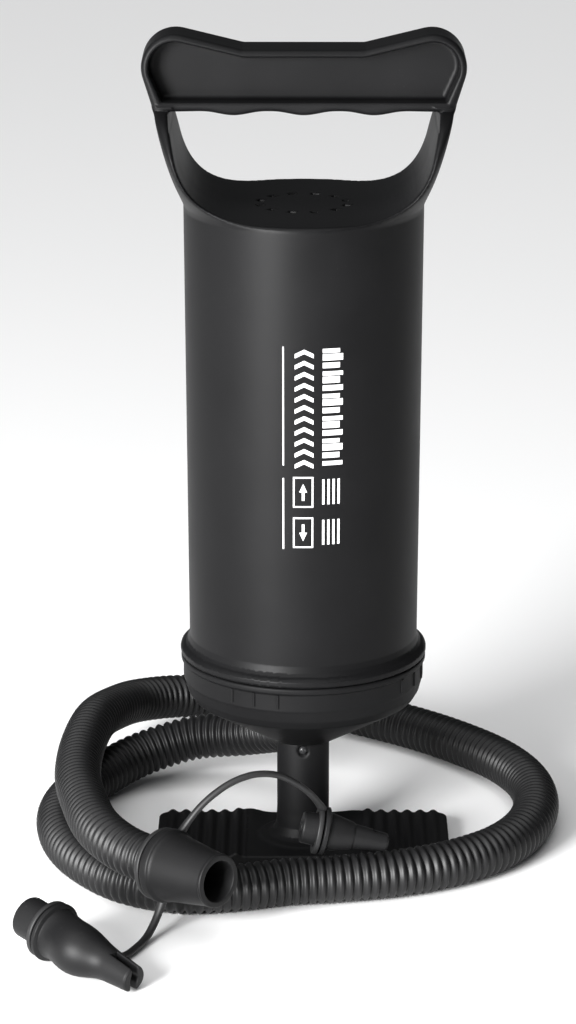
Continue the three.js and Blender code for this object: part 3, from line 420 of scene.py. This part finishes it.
def skin_of(distance, xs, ys, zs, steps=5):
    """The surface where a distance function is zero, found on a grid of cells.

    Each cell that the surface crosses gets one point, at the mean of the crossings on its edges; each
    grid edge that crosses the surface gets one quad, between the four cells round it. The points then
    move along the function's slope until the function is zero. Gives points, quads and outward normals."""
    f = distance(xs[:, None, None], ys[None, :, None], zs[None, None, :])
    f = np.broadcast_to(f, (len(xs), len(ys), len(zs)))
    inside = f < 0
    n = np.array(f.shape) - 1
    count = np.zeros(n, np.int8)
    for a in (0, 1):
        for b in (0, 1):
            for c in (0, 1):
                count += inside[a:n[0] + a, b:n[1] + b, c:n[2] + c]
    cells = np.argwhere((count > 0) & (count < 8))
    number = np.full(n, -1)
    number[tuple(cells.T)] = np.arange(len(cells))
    axes = (xs, ys, zs)
    total = np.zeros((len(cells), 3))
    hits = np.zeros(len(cells))
    for axis in range(3):
        others = [k for k in range(3) if k != axis]
        for shift in ((0, 0), (0, 1), (1, 0), (1, 1)):
            low = cells.copy()
            low[:, others[0]] += shift[0]
            low[:, others[1]] += shift[1]
            high = low.copy()
            high[:, axis] += 1
            f0, f1 = f[tuple(low.T)], f[tuple(high.T)]
            cross = (f0 < 0) != (f1 < 0)
            share = np.where(cross, f0 / np.where(cross, f0 - f1, 1), 0)
            place = np.stack([axes[k][low[:, k]] for k in range(3)], 1)
            place[:, axis] += share * (axes[axis][high[:, axis]] - axes[axis][low[:, axis]])
            total += np.where(cross[:, None], place, 0)
            hits += cross
    points = total / hits[:, None]
    quads = []
    for axis in range(3):
        b, c = (axis + 1) % 3, (axis + 2) % 3
        first = np.take(inside, np.arange(f.shape[axis] - 1), axis)
        second = np.take(inside, np.arange(1, f.shape[axis]), axis)
        edge = np.argwhere(first != second)
        edge = edge[(edge[:, b] > 0) & (edge[:, c] > 0) & (edge[:, b] < n[b]) & (edge[:, c] < n[c])]
        out = first[tuple(edge.T)]
        around = []
        for db, dc in ((-1, -1), (0, -1), (0, 0), (-1, 0)):
            cell = edge.copy()
            cell[:, b] += db
            cell[:, c] += dc
            around.append(number[tuple(cell.T)])
        quad = np.stack(around, 1)
        quads.append(np.where(out[:, None], quad, quad[:, ::-1]))
    small = 1e-3 * min(np.diff(xs).min(), np.diff(ys).min(), np.diff(zs).min())

    def slope(p):
        return np.stack([(distance(*(p + small * e).T) - distance(*(p - small * e).T)) / (2 * small)
                         for e in np.eye(3)], 1)

    reach = 0.5 * np.diff(xs).mean()
    for _ in range(steps):
        g = slope(points)
        move = -distance(*points.T)[:, None] * g / np.maximum((g ** 2).sum(1), 1e-6)[:, None]
        length = np.linalg.norm(move, axis=1)[:, None]
        points = points + move * np.minimum(1, reach / np.maximum(length, 1e-12))
    g = slope(points)
    return points, np.vstack(quads), g / np.maximum(np.linalg.norm(g, axis=1), 1e-9)[:, None]


def blend_or(a, b, width):
    """The union of two shapes, with a fillet of about that width where they meet."""
    h = np.maximum(width - np.abs(a - b), 0) / width
    return np.minimum(a, b) - h * h * width / 4


def blend_and(a, b, width):
    """What two shapes share, with its edges eased over about that width."""
    return -blend_or(-a, -b, width)


def revolved(along, across, profile):
    """Distance to the solid turned from a profile of (along, radius) points whose ends lie on the axis:
    the distance to the nearest side of the outline, negative inside it."""
    return outline_distance(along, across, np.vstack([profile, profile[::-1] * (1, -1)]))


def outline_distance(u, v, outline):
    """Signed distance in a plane to a closed outline: the least distance to its sides, negative inside,
    where a ray from the point crosses an odd number of sides."""
    shape = np.broadcast_shapes(np.shape(u), np.shape(v))
    least = np.full(shape, np.inf)
    odd = np.zeros(shape, bool)
    for (ax, ay), (bx, by) in zip(outline, np.roll(outline, -1, axis=0)):
        ex, ey = bx - ax, by - ay
        span = ex * ex + ey * ey
        if span < 1e-18:
            continue
        wx, wy = u - ax, v - ay
        t = np.clip((wx * ex + wy * ey) / span, 0, 1)
        least = np.minimum(least, (wx - t * ex) ** 2 + (wy - t * ey) ** 2)
        if ey != 0:
            odd = odd ^ (((ay > v) != (by > v)) & (u < ex * (v - ay) / ey + ax))
    return np.where(odd, -1, 1) * np.sqrt(least)


def placed(points, normals, start, aim):
    """Turns a shape built along +Z so that it starts at a point and aims along a direction, with its
    own X level and its own +Y down."""
    aim = np.asarray(aim, float)
    side = np.cross(aim, (0, 0, 1.0))
    side /= np.linalg.norm(side)
    down = np.cross(aim, side)
    matrix = np.stack([side, down, aim])
    return np.asarray(start) + points @ matrix, normals @ matrix


def solid_piece(name, points, quads, normals, material, body):
    """A finished piece from a grid skin, shaded by the shape's own slopes."""
    obj = piece(name, points, quads, material, body, sharp=None)
    obj.data.normals_split_custom_set_from_vertices(normals.tolist())
    return obj


adapter_plastic = plastic("adapter_plastic", DULL_BLACK, 0.48, 3400.0, 0.7, cloud=0.1, dust=0.15,
                          specular=0.19)


def small_adapter(x, y, z):
    """The small adapter in millimetres: a turned outline, less its bore and the slot across its tip."""
    r = np.sqrt(x * x + y * y)
    body = revolved(z, r, np.array([
        (0, 0), (0, 5.3), (0.6, 5.6), (7.0, 5.8), (7.3, 8.2), (7.6, 8.5), (8.8, 8.5), (9.1, 8.1), (9.5, 6.9),
        (18.0, 4.9), (18.7, 4.4), (30.2, 3.2), (31.0, 2.7), (31.0, 0)]))
    slot = np.maximum(np.abs(x) - 0.85, 25.0 - z)
    return blend_and(blend_and(body, 1.7 - r, 0.5), -slot, 0.5)


def large_adapter(x, y, z):
    """The large adapter in millimetres: a turned outline with a round belly on its lower side, less its
    bore and the slot across its tip."""
    r = np.sqrt(x * x + y * y)
    body = revolved(z, r, np.array([
        (0, 0), (0, 7.0), (0.6, 7.3), (12.4, 7.3), (12.7, 10.0), (13.1, 10.4), (14.1, 10.4), (14.5, 9.9),
        (15.0, 9.0), (20.0, 8.4), (30.0, 7.1), (42.0, 5.6), (52.3, 4.7), (53.0, 4.2), (53.0, 0)]))
    belly = np.sqrt((x - 2.9) ** 2 + (y + 0.6) ** 2 + ((z - 27.5) / 1.2) ** 2) - 8.3
    slot = np.maximum(np.abs(x) - 1.45, 42.5 - z)
    return blend_and(blend_and(blend_or(body, belly, 4.0), 1.9 - r, 0.5), -slot, 0.5)


def adapter(name, shape, radius, length, step, start, aim, node):
    """One adapter: its skin on a grid of that step in millimetres, put in its place in metres."""
    across = np.arange(-radius, radius + step, step)
    along = np.arange(-1.5 * step, length + 2 * step, step)
    points, quads, normals = skin_of(shape, across, across, along)
    points, normals = placed(points * 0.001, normals, start, aim)
    obj = solid_piece(name, points, quads, normals, adapter_plastic, "base")
    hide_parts(node)
    return obj


small_nozzle = adapter("small_nozzle", small_adapter, 9.1, 31.0, 0.31,
                       SMALL_ADAPTER_START, SMALL_ADAPTER_AIM, "small_adapter")
large_nozzle = adapter("large_nozzle", large_adapter, 13.0, 53.0, 0.4,
                       LARGE_ADAPTER_START, LARGE_ADAPTER_AIM, "large_adapter")

# ------------------------------------------------------------------ foot
# The foot plate with its tread ribs, the post that the rod stands in, and the boss for the hose, all one
# moulding in dull black plastic.

moulded_black = plastic("foot_plastic", (0.0045, 0.0045, 0.0048), 0.55, 2300.0, 0.75, cloud=0.16, dust=0.2,
                        specular=0.16)
foot_low, foot_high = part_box("foot_base")
FOOT_HALF_X = 1000 * foot_high.x
FOOT_HALF_Y = -1000 * foot_low.y
POST_TOP = 1000 * foot_high.z
PLATE_TOP = 5.8
RIB_PITCH = 4.8
CORNER_RADIUS = 4.0
OUTERMOST_RIB = 48.0
POST_RADIUS = 9.4
POST_BORE = 8.16
BORE_FLOOR = 10.0
PORT_LEVEL = 1000 * PORT_HEIGHT
PIN_LEVEL = 41.0
POST_PROFILE = np.array([
    (0.5, 0), (0.5, 15.0), (6.0, 14.6), (6.7, 12.6), (8.0, 10.8), (11.0, 9.7), (16.0, POST_RADIUS),
    (POST_TOP - 0.5, POST_RADIUS), (POST_TOP, POST_RADIUS - 0.5), (POST_TOP, 0)])


def foot_shape(x, y, z):
    """The foot in millimetres: a rounded plate whose top rises in waves along its two treads and in a
    wedge at the back, with the post and the hose boss blended on and the bores cut out."""
    ax, ay = np.abs(x), np.abs(y)
    qx, qy = ax - (FOOT_HALF_X - CORNER_RADIUS), ay - (FOOT_HALF_Y - CORNER_RADIUS)
    plan = np.sqrt(np.maximum(qx, 0) ** 2 + np.maximum(qy, 0) ** 2) - CORNER_RADIUS
    plan = plan + np.minimum(np.maximum(qx, qy), 0)
    tread = np.clip((ax - 20.4) / 1.5, 0, 1) * np.clip((51.2 - ax) / 1.5, 0, 1)
    waves = 0.6 * (1 + np.cos(2 * np.pi * (ax - OUTERMOST_RIB) / RIB_PITCH)) * tread
    rise = 1.5 * np.exp(-((x + 19.5) / 4.5) ** 2) * np.clip((y - 3) / 14, 0, 1)
    rise = rise + 0.8 * np.exp(-((x - 19) / 6.0) ** 2)
    top = z - PLATE_TOP - waves - rise
    plate = blend_and(blend_and(plan, top, 1.2), 0.02 - z, 0.5)
    r = np.sqrt(x * x + y * y)
    post = revolved(z, r, POST_PROFILE)
    bore = np.sqrt(x * x + (z - PORT_LEVEL) ** 2)
    boss = blend_and(bore - 7.4, np.maximum(y - 13.9, -y), 0.8)
    spigot = np.maximum(bore - 6.2, np.maximum(y - 24.95, -y))
    body = blend_or(blend_or(blend_or(plate, post, 2.6), boss, 1.6), spigot, 0.6)
    cut = np.minimum(np.maximum(r - POST_BORE, BORE_FLOOR - z), np.maximum(bore - 4.4, -y))
    dimple = np.sqrt(x * x + (y + 10.7) ** 2 + (z - PIN_LEVEL) ** 2) - 2.7
    hollow = np.maximum(np.abs(ax - 32.6) - 17.4, np.abs(ay - 10.1) - 8.9)
    hollow = blend_and(hollow, z - 3.4, 0.5)
    return blend_and(blend_and(blend_and(body, -cut, 0.5), -dimple, 0.5), -hollow, 0.5)


foot_points, foot_quads, foot_normals = skin_of(
    foot_shape,
    np.arange(-FOOT_HALF_X - 0.7, FOOT_HALF_X + 1.4, 0.7),
    np.arange(-FOOT_HALF_Y - 0.7, 26.6, 0.7),
    np.concatenate([
        np.arange(-0.7, 12, 0.55), np.arange(12.1, 27, 2.0), np.arange(27.2, POST_TOP + 1.4, 0.7)]))
foot_points[:, 2] = np.maximum(foot_points[:, 2], 0.02)
foot = solid_piece("foot", foot_points * 0.001, foot_quads, foot_normals, moulded_black, "base")
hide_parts("foot_base")

# ------------------------------------------------------------------ rod
# A drawn tube in smooth black that stands in the post and carries the piston, held by a small domed pin
# pressed through the front of the post. Its cross holes are in the CAD solid and not in this mesh.

rod_finish = plastic("rod_finish", (0.02, 0.02, 0.021), 0.24, 5200.0, 0.1, cloud=0.1, dust=0.15)
rod_low, rod_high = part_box("rod_tube")
ROD_RADIUS = rod_high.x
ROD_SHOULDER = 0.2057
rod_profile = rounded([
    (rod_low.z + 0.02, 0.0058), (rod_low.z, 0.0058), (rod_low.z, ROD_RADIUS), (ROD_SHOULDER, ROD_RADIUS),
    (ROD_SHOULDER, 0.0072), (rod_high.z, 0.0072), (rod_high.z, 0.0001), (rod_high.z - 0.005, 0.0001),
    (rod_high.z - 0.005, 0.0058), (rod_low.z + 0.02, 0.0058)], 0.0003)
rod_vertices, rod_faces = turned(rod_profile, 96)
rod = piece("rod", rod_vertices, rod_faces, rod_finish, "base")
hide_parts("rod_tube")

pin_low, pin_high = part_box("rod_pin")
pin_length = pin_high.y - pin_low.y
pin_profile = rounded([
    (0.0003, 0.0001), (0, 0.0001), (0, 0.0016), (pin_length - 0.0008, 0.0016), (pin_length - 0.0002, 0.0010),
    (pin_length, 0.0001)], 0.0002)
pin_vertices, pin_faces = turned(pin_profile, 40, (0, pin_high.y, 0.001 * PIN_LEVEL), (0, -1, 0))
pin = piece("pin_button", pin_vertices, pin_faces, rod_finish, "base")
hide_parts("rod_pin")

# ------------------------------------------------------------------ lower cap
# A moulded cap that closes the barrel's foot: a hub round the rod, a cone, a bowl, and a ring with small
# grip ribs in groups of three. The air holes round its cone are in the CAD solid and not in this mesh.

cap_plastic = plastic("cap_plastic", (0.0055, 0.0055, 0.0058), 0.52, 2600.0, 0.55, cloud=0.14, dust=0.15,
                      specular=0.09)
CAP_RING = 0.0429
cap_profile = rounded([
    (0.0500, 0.0085), (0.0439, 0.0085), (0.0439, 0.0115), (0.0590, 0.0373), (0.0606, 0.0399),
    (0.0636, 0.0417),
    (0.0673, 0.0426), (0.0680, CAP_RING), (0.0741, CAP_RING), (0.0746, 0.0437), (0.0762, 0.0437),
    (0.0766, 0.0432), (0.0766, 0.0405), (0.0661, 0.0405), (0.0661, 0.0384), (0.0620, 0.0384),
    (0.0612, 0.0352), (0.0500, 0.0135), (0.0500, 0.0100), (0.0500, 0.0085)], 0.0005, 5)
cap_vertices, cap_faces = turned(cap_profile, 256)
cap = piece("cap", cap_vertices, cap_faces, cap_plastic, "barrel")
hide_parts("lower_cap")
rib_vertices, rib_faces = [], []
for group in range(4):
    for member in (-1, 0, 1):
        turn = math.radians(-113.7 + 90 * group + 11.7 * member)
        foot_point = np.array([math.cos(turn), math.sin(turn), 0]) * (CAP_RING - 0.0001)
        line = [foot_point + (0, 0, h) for h in np.linspace(0.0690, 0.0740, 8)]
        vertices, faces = swept(np.array(line), 0.00062, 12)
        rib_faces += [tuple(i + len(rib_vertices) for i in face) for face in faces]
        rib_vertices += list(vertices)
piece("cap_ribs", rib_vertices, rib_faces, cap_plastic, "barrel")

# ------------------------------------------------------------------ barrel
# The barrel with its flange, shoulders, hand opening and grip, one moulding in satin black plastic. It is
# open at the foot and hollow up to the floor of the opening.

barrel_plastic = plastic("barrel_plastic", (0.0050, 0.0050, 0.0053), 0.45, 3000.0, 0.32, cloud=0.12,
                         dust=0.06, specular=0.10)
BORE = 38.4
FOOT_RADIUS = 40.6
HEAD_RADIUS = 41.7
TAPER_START = 84.0
TAPER_LENGTH = 153.0
CROWN_UNDERSIDE = 236.5
SLOT_CIRCLE = 15.4
SLOT_COUNT = 12
LEG_SPREAD = 0.2887
RECESS_FLOOR = 1.3
SCOOP = 240.0
GRIP_UNDERSIDE = 273.4
LEG_TOP = GRIP_UNDERSIDE + 0.6
LOBE_X, LOBE_Z, LOBE_RADIUS = 44.0, 288.4, 11.6
DIP_Z, DIP_HALF = 294.7, 20.8
GRIP_HALF_DEPTH = 10.0
SHELL_PROFILE = np.array([
    (67.9, 0), (67.9, 40.0), (68.2, 40.3), (76.9, 40.3), (76.9, 43.5), (77.3, 43.9),
    (79.2, 43.9), (79.9, 43.2),
    (80.5, 42.0), (81.5, 41.2), (84.0, 40.61), (90.0, 40.65), (90.0, 0)])


def taper(z):
    """Radius of the barrel's wall at a height, in millimetres: a straight rise from foot to head."""
    return FOOT_RADIUS + (z - TAPER_START) * (HEAD_RADIUS - FOOT_RADIUS) / TAPER_LENGTH


def arc(x, z, radius, start, end, steps=24):
    """Points on an arc in X and Z, from a start angle to an end angle."""
    angle = np.linspace(start, end, steps)
    return np.stack([x + radius * np.cos(angle), z + radius * np.sin(angle)], axis=1)


def grip_outline(inset, bottom, half):
    """The grip's outline in X and Z: two lobes and the dip between them, drawn in by an inset."""
    slope = math.atan2(LOBE_Z + LOBE_RADIUS - DIP_Z, LOBE_X - DIP_HALF)
    lobe = arc(LOBE_X, LOBE_Z, LOBE_RADIUS - inset, -0.281, math.pi / 2 + slope)
    dip = np.array([(DIP_HALF, DIP_Z - inset)])
    right = np.vstack([[(half, bottom)], lobe, dip])
    return np.vstack([right, right[::-1] * (-1, 1)])


def curve(points, steps=14):
    """Points on the Bezier curve with those control points."""
    share = np.linspace(0, 1, steps)[:, None]
    rows = [np.asarray(p, float) for p in points]
    while len(rows) > 1:
        rows = [a * (1 - share) + b * share for a, b in zip(rows, rows[1:])]
    return rows[0]


OPENING_SIDE = curve([(15.0, SCOOP), (33.0, SCOOP), (40.6, 247.5), (43.5, 260.0)], 24)
BUMP_X = np.linspace(36.0, 0, 49)
BUMP_Z = 273.6 - 1.4 * (0.5 + 0.5 * np.cos(2 * np.pi * BUMP_X / 24.0)) ** 1.3
OPENING_TOP = np.vstack([[(46.4, GRIP_UNDERSIDE)], np.stack([BUMP_X, BUMP_Z], axis=1)])
OPENING_HALF = np.vstack([OPENING_SIDE, OPENING_TOP])
OPENING = np.vstack([OPENING_HALF, OPENING_HALF[::-1] * (-1, 1)])
GRIP = grip_outline(0, 269.0, HEAD_RADIUS + 29 * LEG_SPREAD)
RECESS = grip_outline(2.6, 276.8, 48.6)


def barrel_shape(x, y, z):
    """The barrel in millimetres. Its upper part is a rounded square section that grows squarer, wider
    and thinner as it rises, joined to the grip, less the opening, recesses, slots and chamber."""
    r = np.sqrt(x * x + y * y)
    share = np.clip((z - SCOOP) / (LEG_TOP - SCOOP), 0, 0.999)
    wide = np.minimum(taper(z), HEAD_RADIUS) + np.maximum(z - SCOOP - 0.4, 0) * LEG_SPREAD
    deep = GRIP_HALF_DEPTH - 1 + (wide - GRIP_HALF_DEPTH + 1) * np.sqrt(1 - share ** 2)
    deep = np.where(z < SCOOP, wide, np.minimum(deep, GRIP_HALF_DEPTH - 1 + 32.7 * np.sqrt(1 - share ** 2)))
    power = 2 + 0.045 * np.maximum(0, z - SCOOP + 2) ** 1.6
    section = ((np.abs(x) / wide) ** power + (np.abs(y) / deep) ** power) ** (1 / power) - 1
    column = np.maximum(section * np.minimum(wide, deep), np.maximum(84.5 - z, z - LEG_TOP - 1.0))
    column = np.maximum(column, np.minimum(45.0 - np.abs(x), z - 270.0))
    shell = np.minimum(revolved(z, r, SHELL_PROFILE), column)
    plan = outline_distance(x, z, GRIP)
    grip = blend_and(plan, np.abs(y) - GRIP_HALF_DEPTH, 2.6)
    core = blend_and(plan + 0.8, np.abs(y) - GRIP_HALF_DEPTH, 2.6)
    body = np.minimum(blend_or(shell, core, 1.6), grip)
    opening = outline_distance(x, z, OPENING)
    recess = blend_and(outline_distance(x, z, RECESS), RECESS_FLOOR - np.abs(y), 1.8)
    chamber = np.maximum(r - BORE, z - CROWN_UNDERSIDE)
    turn = 2 * math.pi / SLOT_COUNT
    around = np.arctan2(y, x) - turn / 2
    around = around - np.round(around / turn) * turn
    slot = np.maximum(np.abs(r * np.cos(around) - SLOT_CIRCLE) - 1.2, np.abs(r * np.sin(around)) - 1.3)
    slot = np.maximum(slot, np.abs(z - 238) - 4)
    body = blend_and(blend_and(body, -opening, 2.0), -recess, 1.5)
    return np.maximum(blend_and(body, -slot, 0.6), -chamber)


barrel_points, barrel_quads, barrel_normals = skin_of(
    barrel_shape,
    np.concatenate([np.arange(-57, -17.5, 1.0), np.arange(-17.4, 17.5, 0.7), np.arange(18, 57.5)]),
    np.concatenate([np.arange(-45, -17.5, 1.0), np.arange(-17.4, 17.5, 0.7), np.arange(18, 45.5)]),
    np.concatenate([np.arange(67.1, 86, 0.7), np.arange(90, 232, 12.0), np.arange(233.0, 302, 0.9)]))
barrel = solid_piece("barrel_moulding", barrel_points * 0.001, barrel_quads, barrel_normals, barrel_plastic,
                     "barrel")
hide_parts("barrel")

# ------------------------------------------------------------------ printed marks
# White marks printed down the front of the barrel: a column of short bars, a column of chevrons, two thin
# rules, and two boxes with arrows for the up and the down stroke. They carry no lettering.

print_ink = plastic("white_ink", (0.62, 0.62, 0.62), 0.5, 9000.0, 0.05, cloud=0.05, dust=0.1)
PRINT_LIFT = 0.06


def printed(outlines):
    """Thin raised patches from flat outlines of (distance round the barrel, height) in millimetres,
    each cut into strips and wrapped on the barrel's taper."""
    vertices, faces = [], []
    for outline in outlines:
        (u0, z0), (u1, z1), (u2, z2), (u3, z3) = outline
        rows = []
        for a in np.linspace(0, 1, 7):
            low = (u0 + (u1 - u0) * a, z0 + (z1 - z0) * a)
            high = (u3 + (u2 - u3) * a, z3 + (z2 - z3) * a)
            rows.append((low, high))
        start = len(vertices)
        for lift in (-0.02, PRINT_LIFT):
            for low, high in rows:
                for u, z in (low, high):
                    radius = taper(z) + lift
                    angle = u / 41.2 - math.pi / 2
                    vertices.append((radius * math.cos(angle), radius * math.sin(angle), z))
        for i in range(6):
            a, b = start + 2 * i, start + 14 + 2 * i
            faces += [(a + 1, a + 3, a + 2, a), (b, b + 2, b + 3, b + 1)]
            faces += [(a, a + 2, b + 2, b), (a + 3, a + 1, b + 1, b + 3)]
        end = start + 12
        faces += [(start + 1, start, start + 14, start + 15), (end, end + 1, end + 15, end + 14)]
    return np.array(vertices) * 0.001, faces


def box_lines(u0, u1, z0, z1, line):
    """The four sides of a box as thin bars."""
    return [
        [(u0, z0), (u1, z0), (u1, z0 + line), (u0, z0 + line)],
        [(u0, z1 - line), (u1, z1 - line), (u1, z1), (u0, z1)],
        [(u0, z0 + line), (u0 + line, z0 + line), (u0 + line, z1 - line), (u0, z1 - line)],
        [(u1 - line, z0 + line), (u1, z0 + line), (u1, z1 - line), (u1 - line, z1 - line)]]


def bar_of(u0, u1, z0, z1):
    """An upright bar."""
    return [(u0, z0), (u1, z0), (u1, z1), (u0, z1)]


def arrow(u, z, size, way):
    """An arrow: a stem, and a head whose point lies up or down."""
    tip = z + way * size
    head = [(u - 0.45 * size, z), (u, z), (u, tip), (u, tip)]
    other = [(u, z), (u + 0.45 * size, z), (u, tip), (u, tip)]
    stem = [(u - 0.15 * size, z - way * size), (u + 0.15 * size, z - way * size), (u + 0.15 * size, z),
            (u - 0.15 * size, z)]
    shapes = [head, other, stem]
    return shapes if way > 0 else [[p[1], p[0], p[3], p[2]] for p in shapes]


marks = []
for k in range(16):
    foot_z, length = 157.0 + 2.65 * k, 1.5 + 0.4 * (k % 3)
    marks.append(bar_of(6.5, 13.6 - 1.1 * (k % 2), foot_z, foot_z + length))
for k in range(11):
    foot_z = 156.0 + 3.9 * k
    marks += [[(-3.0, foot_z), (0.2, foot_z + 1.6), (0.2, foot_z + 3.1), (-3.0, foot_z + 1.5)],
              [(0.2, foot_z + 1.6), (3.4, foot_z), (3.4, foot_z + 1.5), (0.2, foot_z + 3.1)]]
marks.append(bar_of(-7.2, -6.7, 157.0, 199.0))
for low, high, way in ((142.0, 153.0, 1), (127.5, 138.5, -1)):
    marks += box_lines(-3.6, 3.4, low, high, 0.55)
    marks += arrow(-0.1, (low + high) / 2, 3.0, way)
    for k in range(4):
        marks.append(bar_of(6.5 + 1.8 * k, 7.3 + 1.8 * k, low + 1.0, high - 1.0))
marks.append(bar_of(-7.2, -6.7, 127.0, 152.5))
print_vertices, print_faces = printed(marks)
piece("printed_marks", print_vertices, print_faces, print_ink, "barrel")

# ------------------------------------------------------------------ working parts
# What the barrel hides: white moulded plates, keepers and bushes, soft black seals, and thin red rubber
# valve discs. Their CAD solids are shown as they are, with a finish of their own.

inner_white = plastic("inner_white", (0.72, 0.71, 0.68), 0.4, 2600.0, 0.3, cloud=0.06, dust=0.15)
valve_red = plastic("valve_rubber", (0.35, 0.045, 0.03), 0.62, 3600.0, 0.5, cloud=0.12, dust=0.2)
seal_black = plastic("seal_rubber", (0.02, 0.02, 0.02), 0.6, 4200.0, 0.4, cloud=0.1, dust=0.3)
for finish, nodes in (
        (inner_white, ("piston_lower_plate", "piston_upper_plate", "piston_stop_ring", "piston_nut",
                       "rod_bush", "top_disc_keeper", "intake_seat_plate", "intake_ring_keeper",
                       "seal_retainer")),
        (valve_red, ("lower_outlet_disc", "upper_outlet_disc", "top_intake_disc", "lower_intake_ring")),
        (seal_black, ("piston_seal", "rod_seal", "cap_gasket"))):
    for node in nodes:
        solid = bpy.data.objects[node]
        solid.data.materials.clear()
        solid.data.materials.append(finish)

# ------------------------------------------------------------------ floor and light
# A plain white floor, a soft light low in front on the left, and broad light from above that keeps the
# floor pale.

FLOOR_REACH = 60.0
floor_mesh = bpy.data.meshes.new("floor")
floor_mesh.from_pydata([(-FLOOR_REACH, -FLOOR_REACH, 0), (FLOOR_REACH, -FLOOR_REACH, 0),
                        (FLOOR_REACH, FLOOR_REACH, 0), (-FLOOR_REACH, FLOOR_REACH, 0)], [], [(0, 1, 2, 3)])
floor = bpy.data.objects.new("floor", floor_mesh)
bpy.context.scene.collection.objects.link(floor)
floor_white = bpy.data.materials.new("floor_white")
floor_white.use_nodes = True
floor_white.node_tree.nodes["Principled BSDF"].inputs["Base Color"].default_value = (0.9, 0.9, 0.9, 1)
floor_white.node_tree.nodes["Principled BSDF"].inputs["Roughness"].default_value = 0.9
floor_white.node_tree.nodes["Principled BSDF"].inputs["Specular IOR Level"].default_value = 0.1
floor_mesh.materials.append(floor_white)


def softbox(name, place, aim, wide, tall, power):
    """A rectangular lamp at a place, turned to face a point."""
    lamp = bpy.data.lights.new(name, "AREA")
    lamp.shape = "RECTANGLE"
    lamp.size, lamp.size_y, lamp.energy = wide, tall, power
    holder = bpy.data.objects.new(name, lamp)
    holder.location = place
    holder.rotation_euler = (Vector(aim) - Vector(place)).to_track_quat("-Z", "Y").to_euler()
    holder.visible_camera = False
    bpy.context.scene.collection.objects.link(holder)


softbox("key_light", (-0.80, -1.20, 0.42), (0, 0, 0.19), 0.50, 0.75, 74)
sky_lamp = bpy.data.lights.new("sky_light", "SUN")
sky_lamp.energy = 2.1
sky_lamp.angle = math.radians(70)
sky = bpy.data.objects.new("sky_light", sky_lamp)
sky.rotation_euler = (math.radians(20), math.radians(-14), 0)
bpy.context.scene.collection.objects.link(sky)
world = bpy.data.worlds.new("studio")
world.use_nodes = True
world.node_tree.nodes["Background"].inputs["Color"].default_value = (0.95, 0.97, 1.0, 1)
world.node_tree.nodes["Background"].inputs["Strength"].default_value = 0.10
bpy.context.scene.world = world
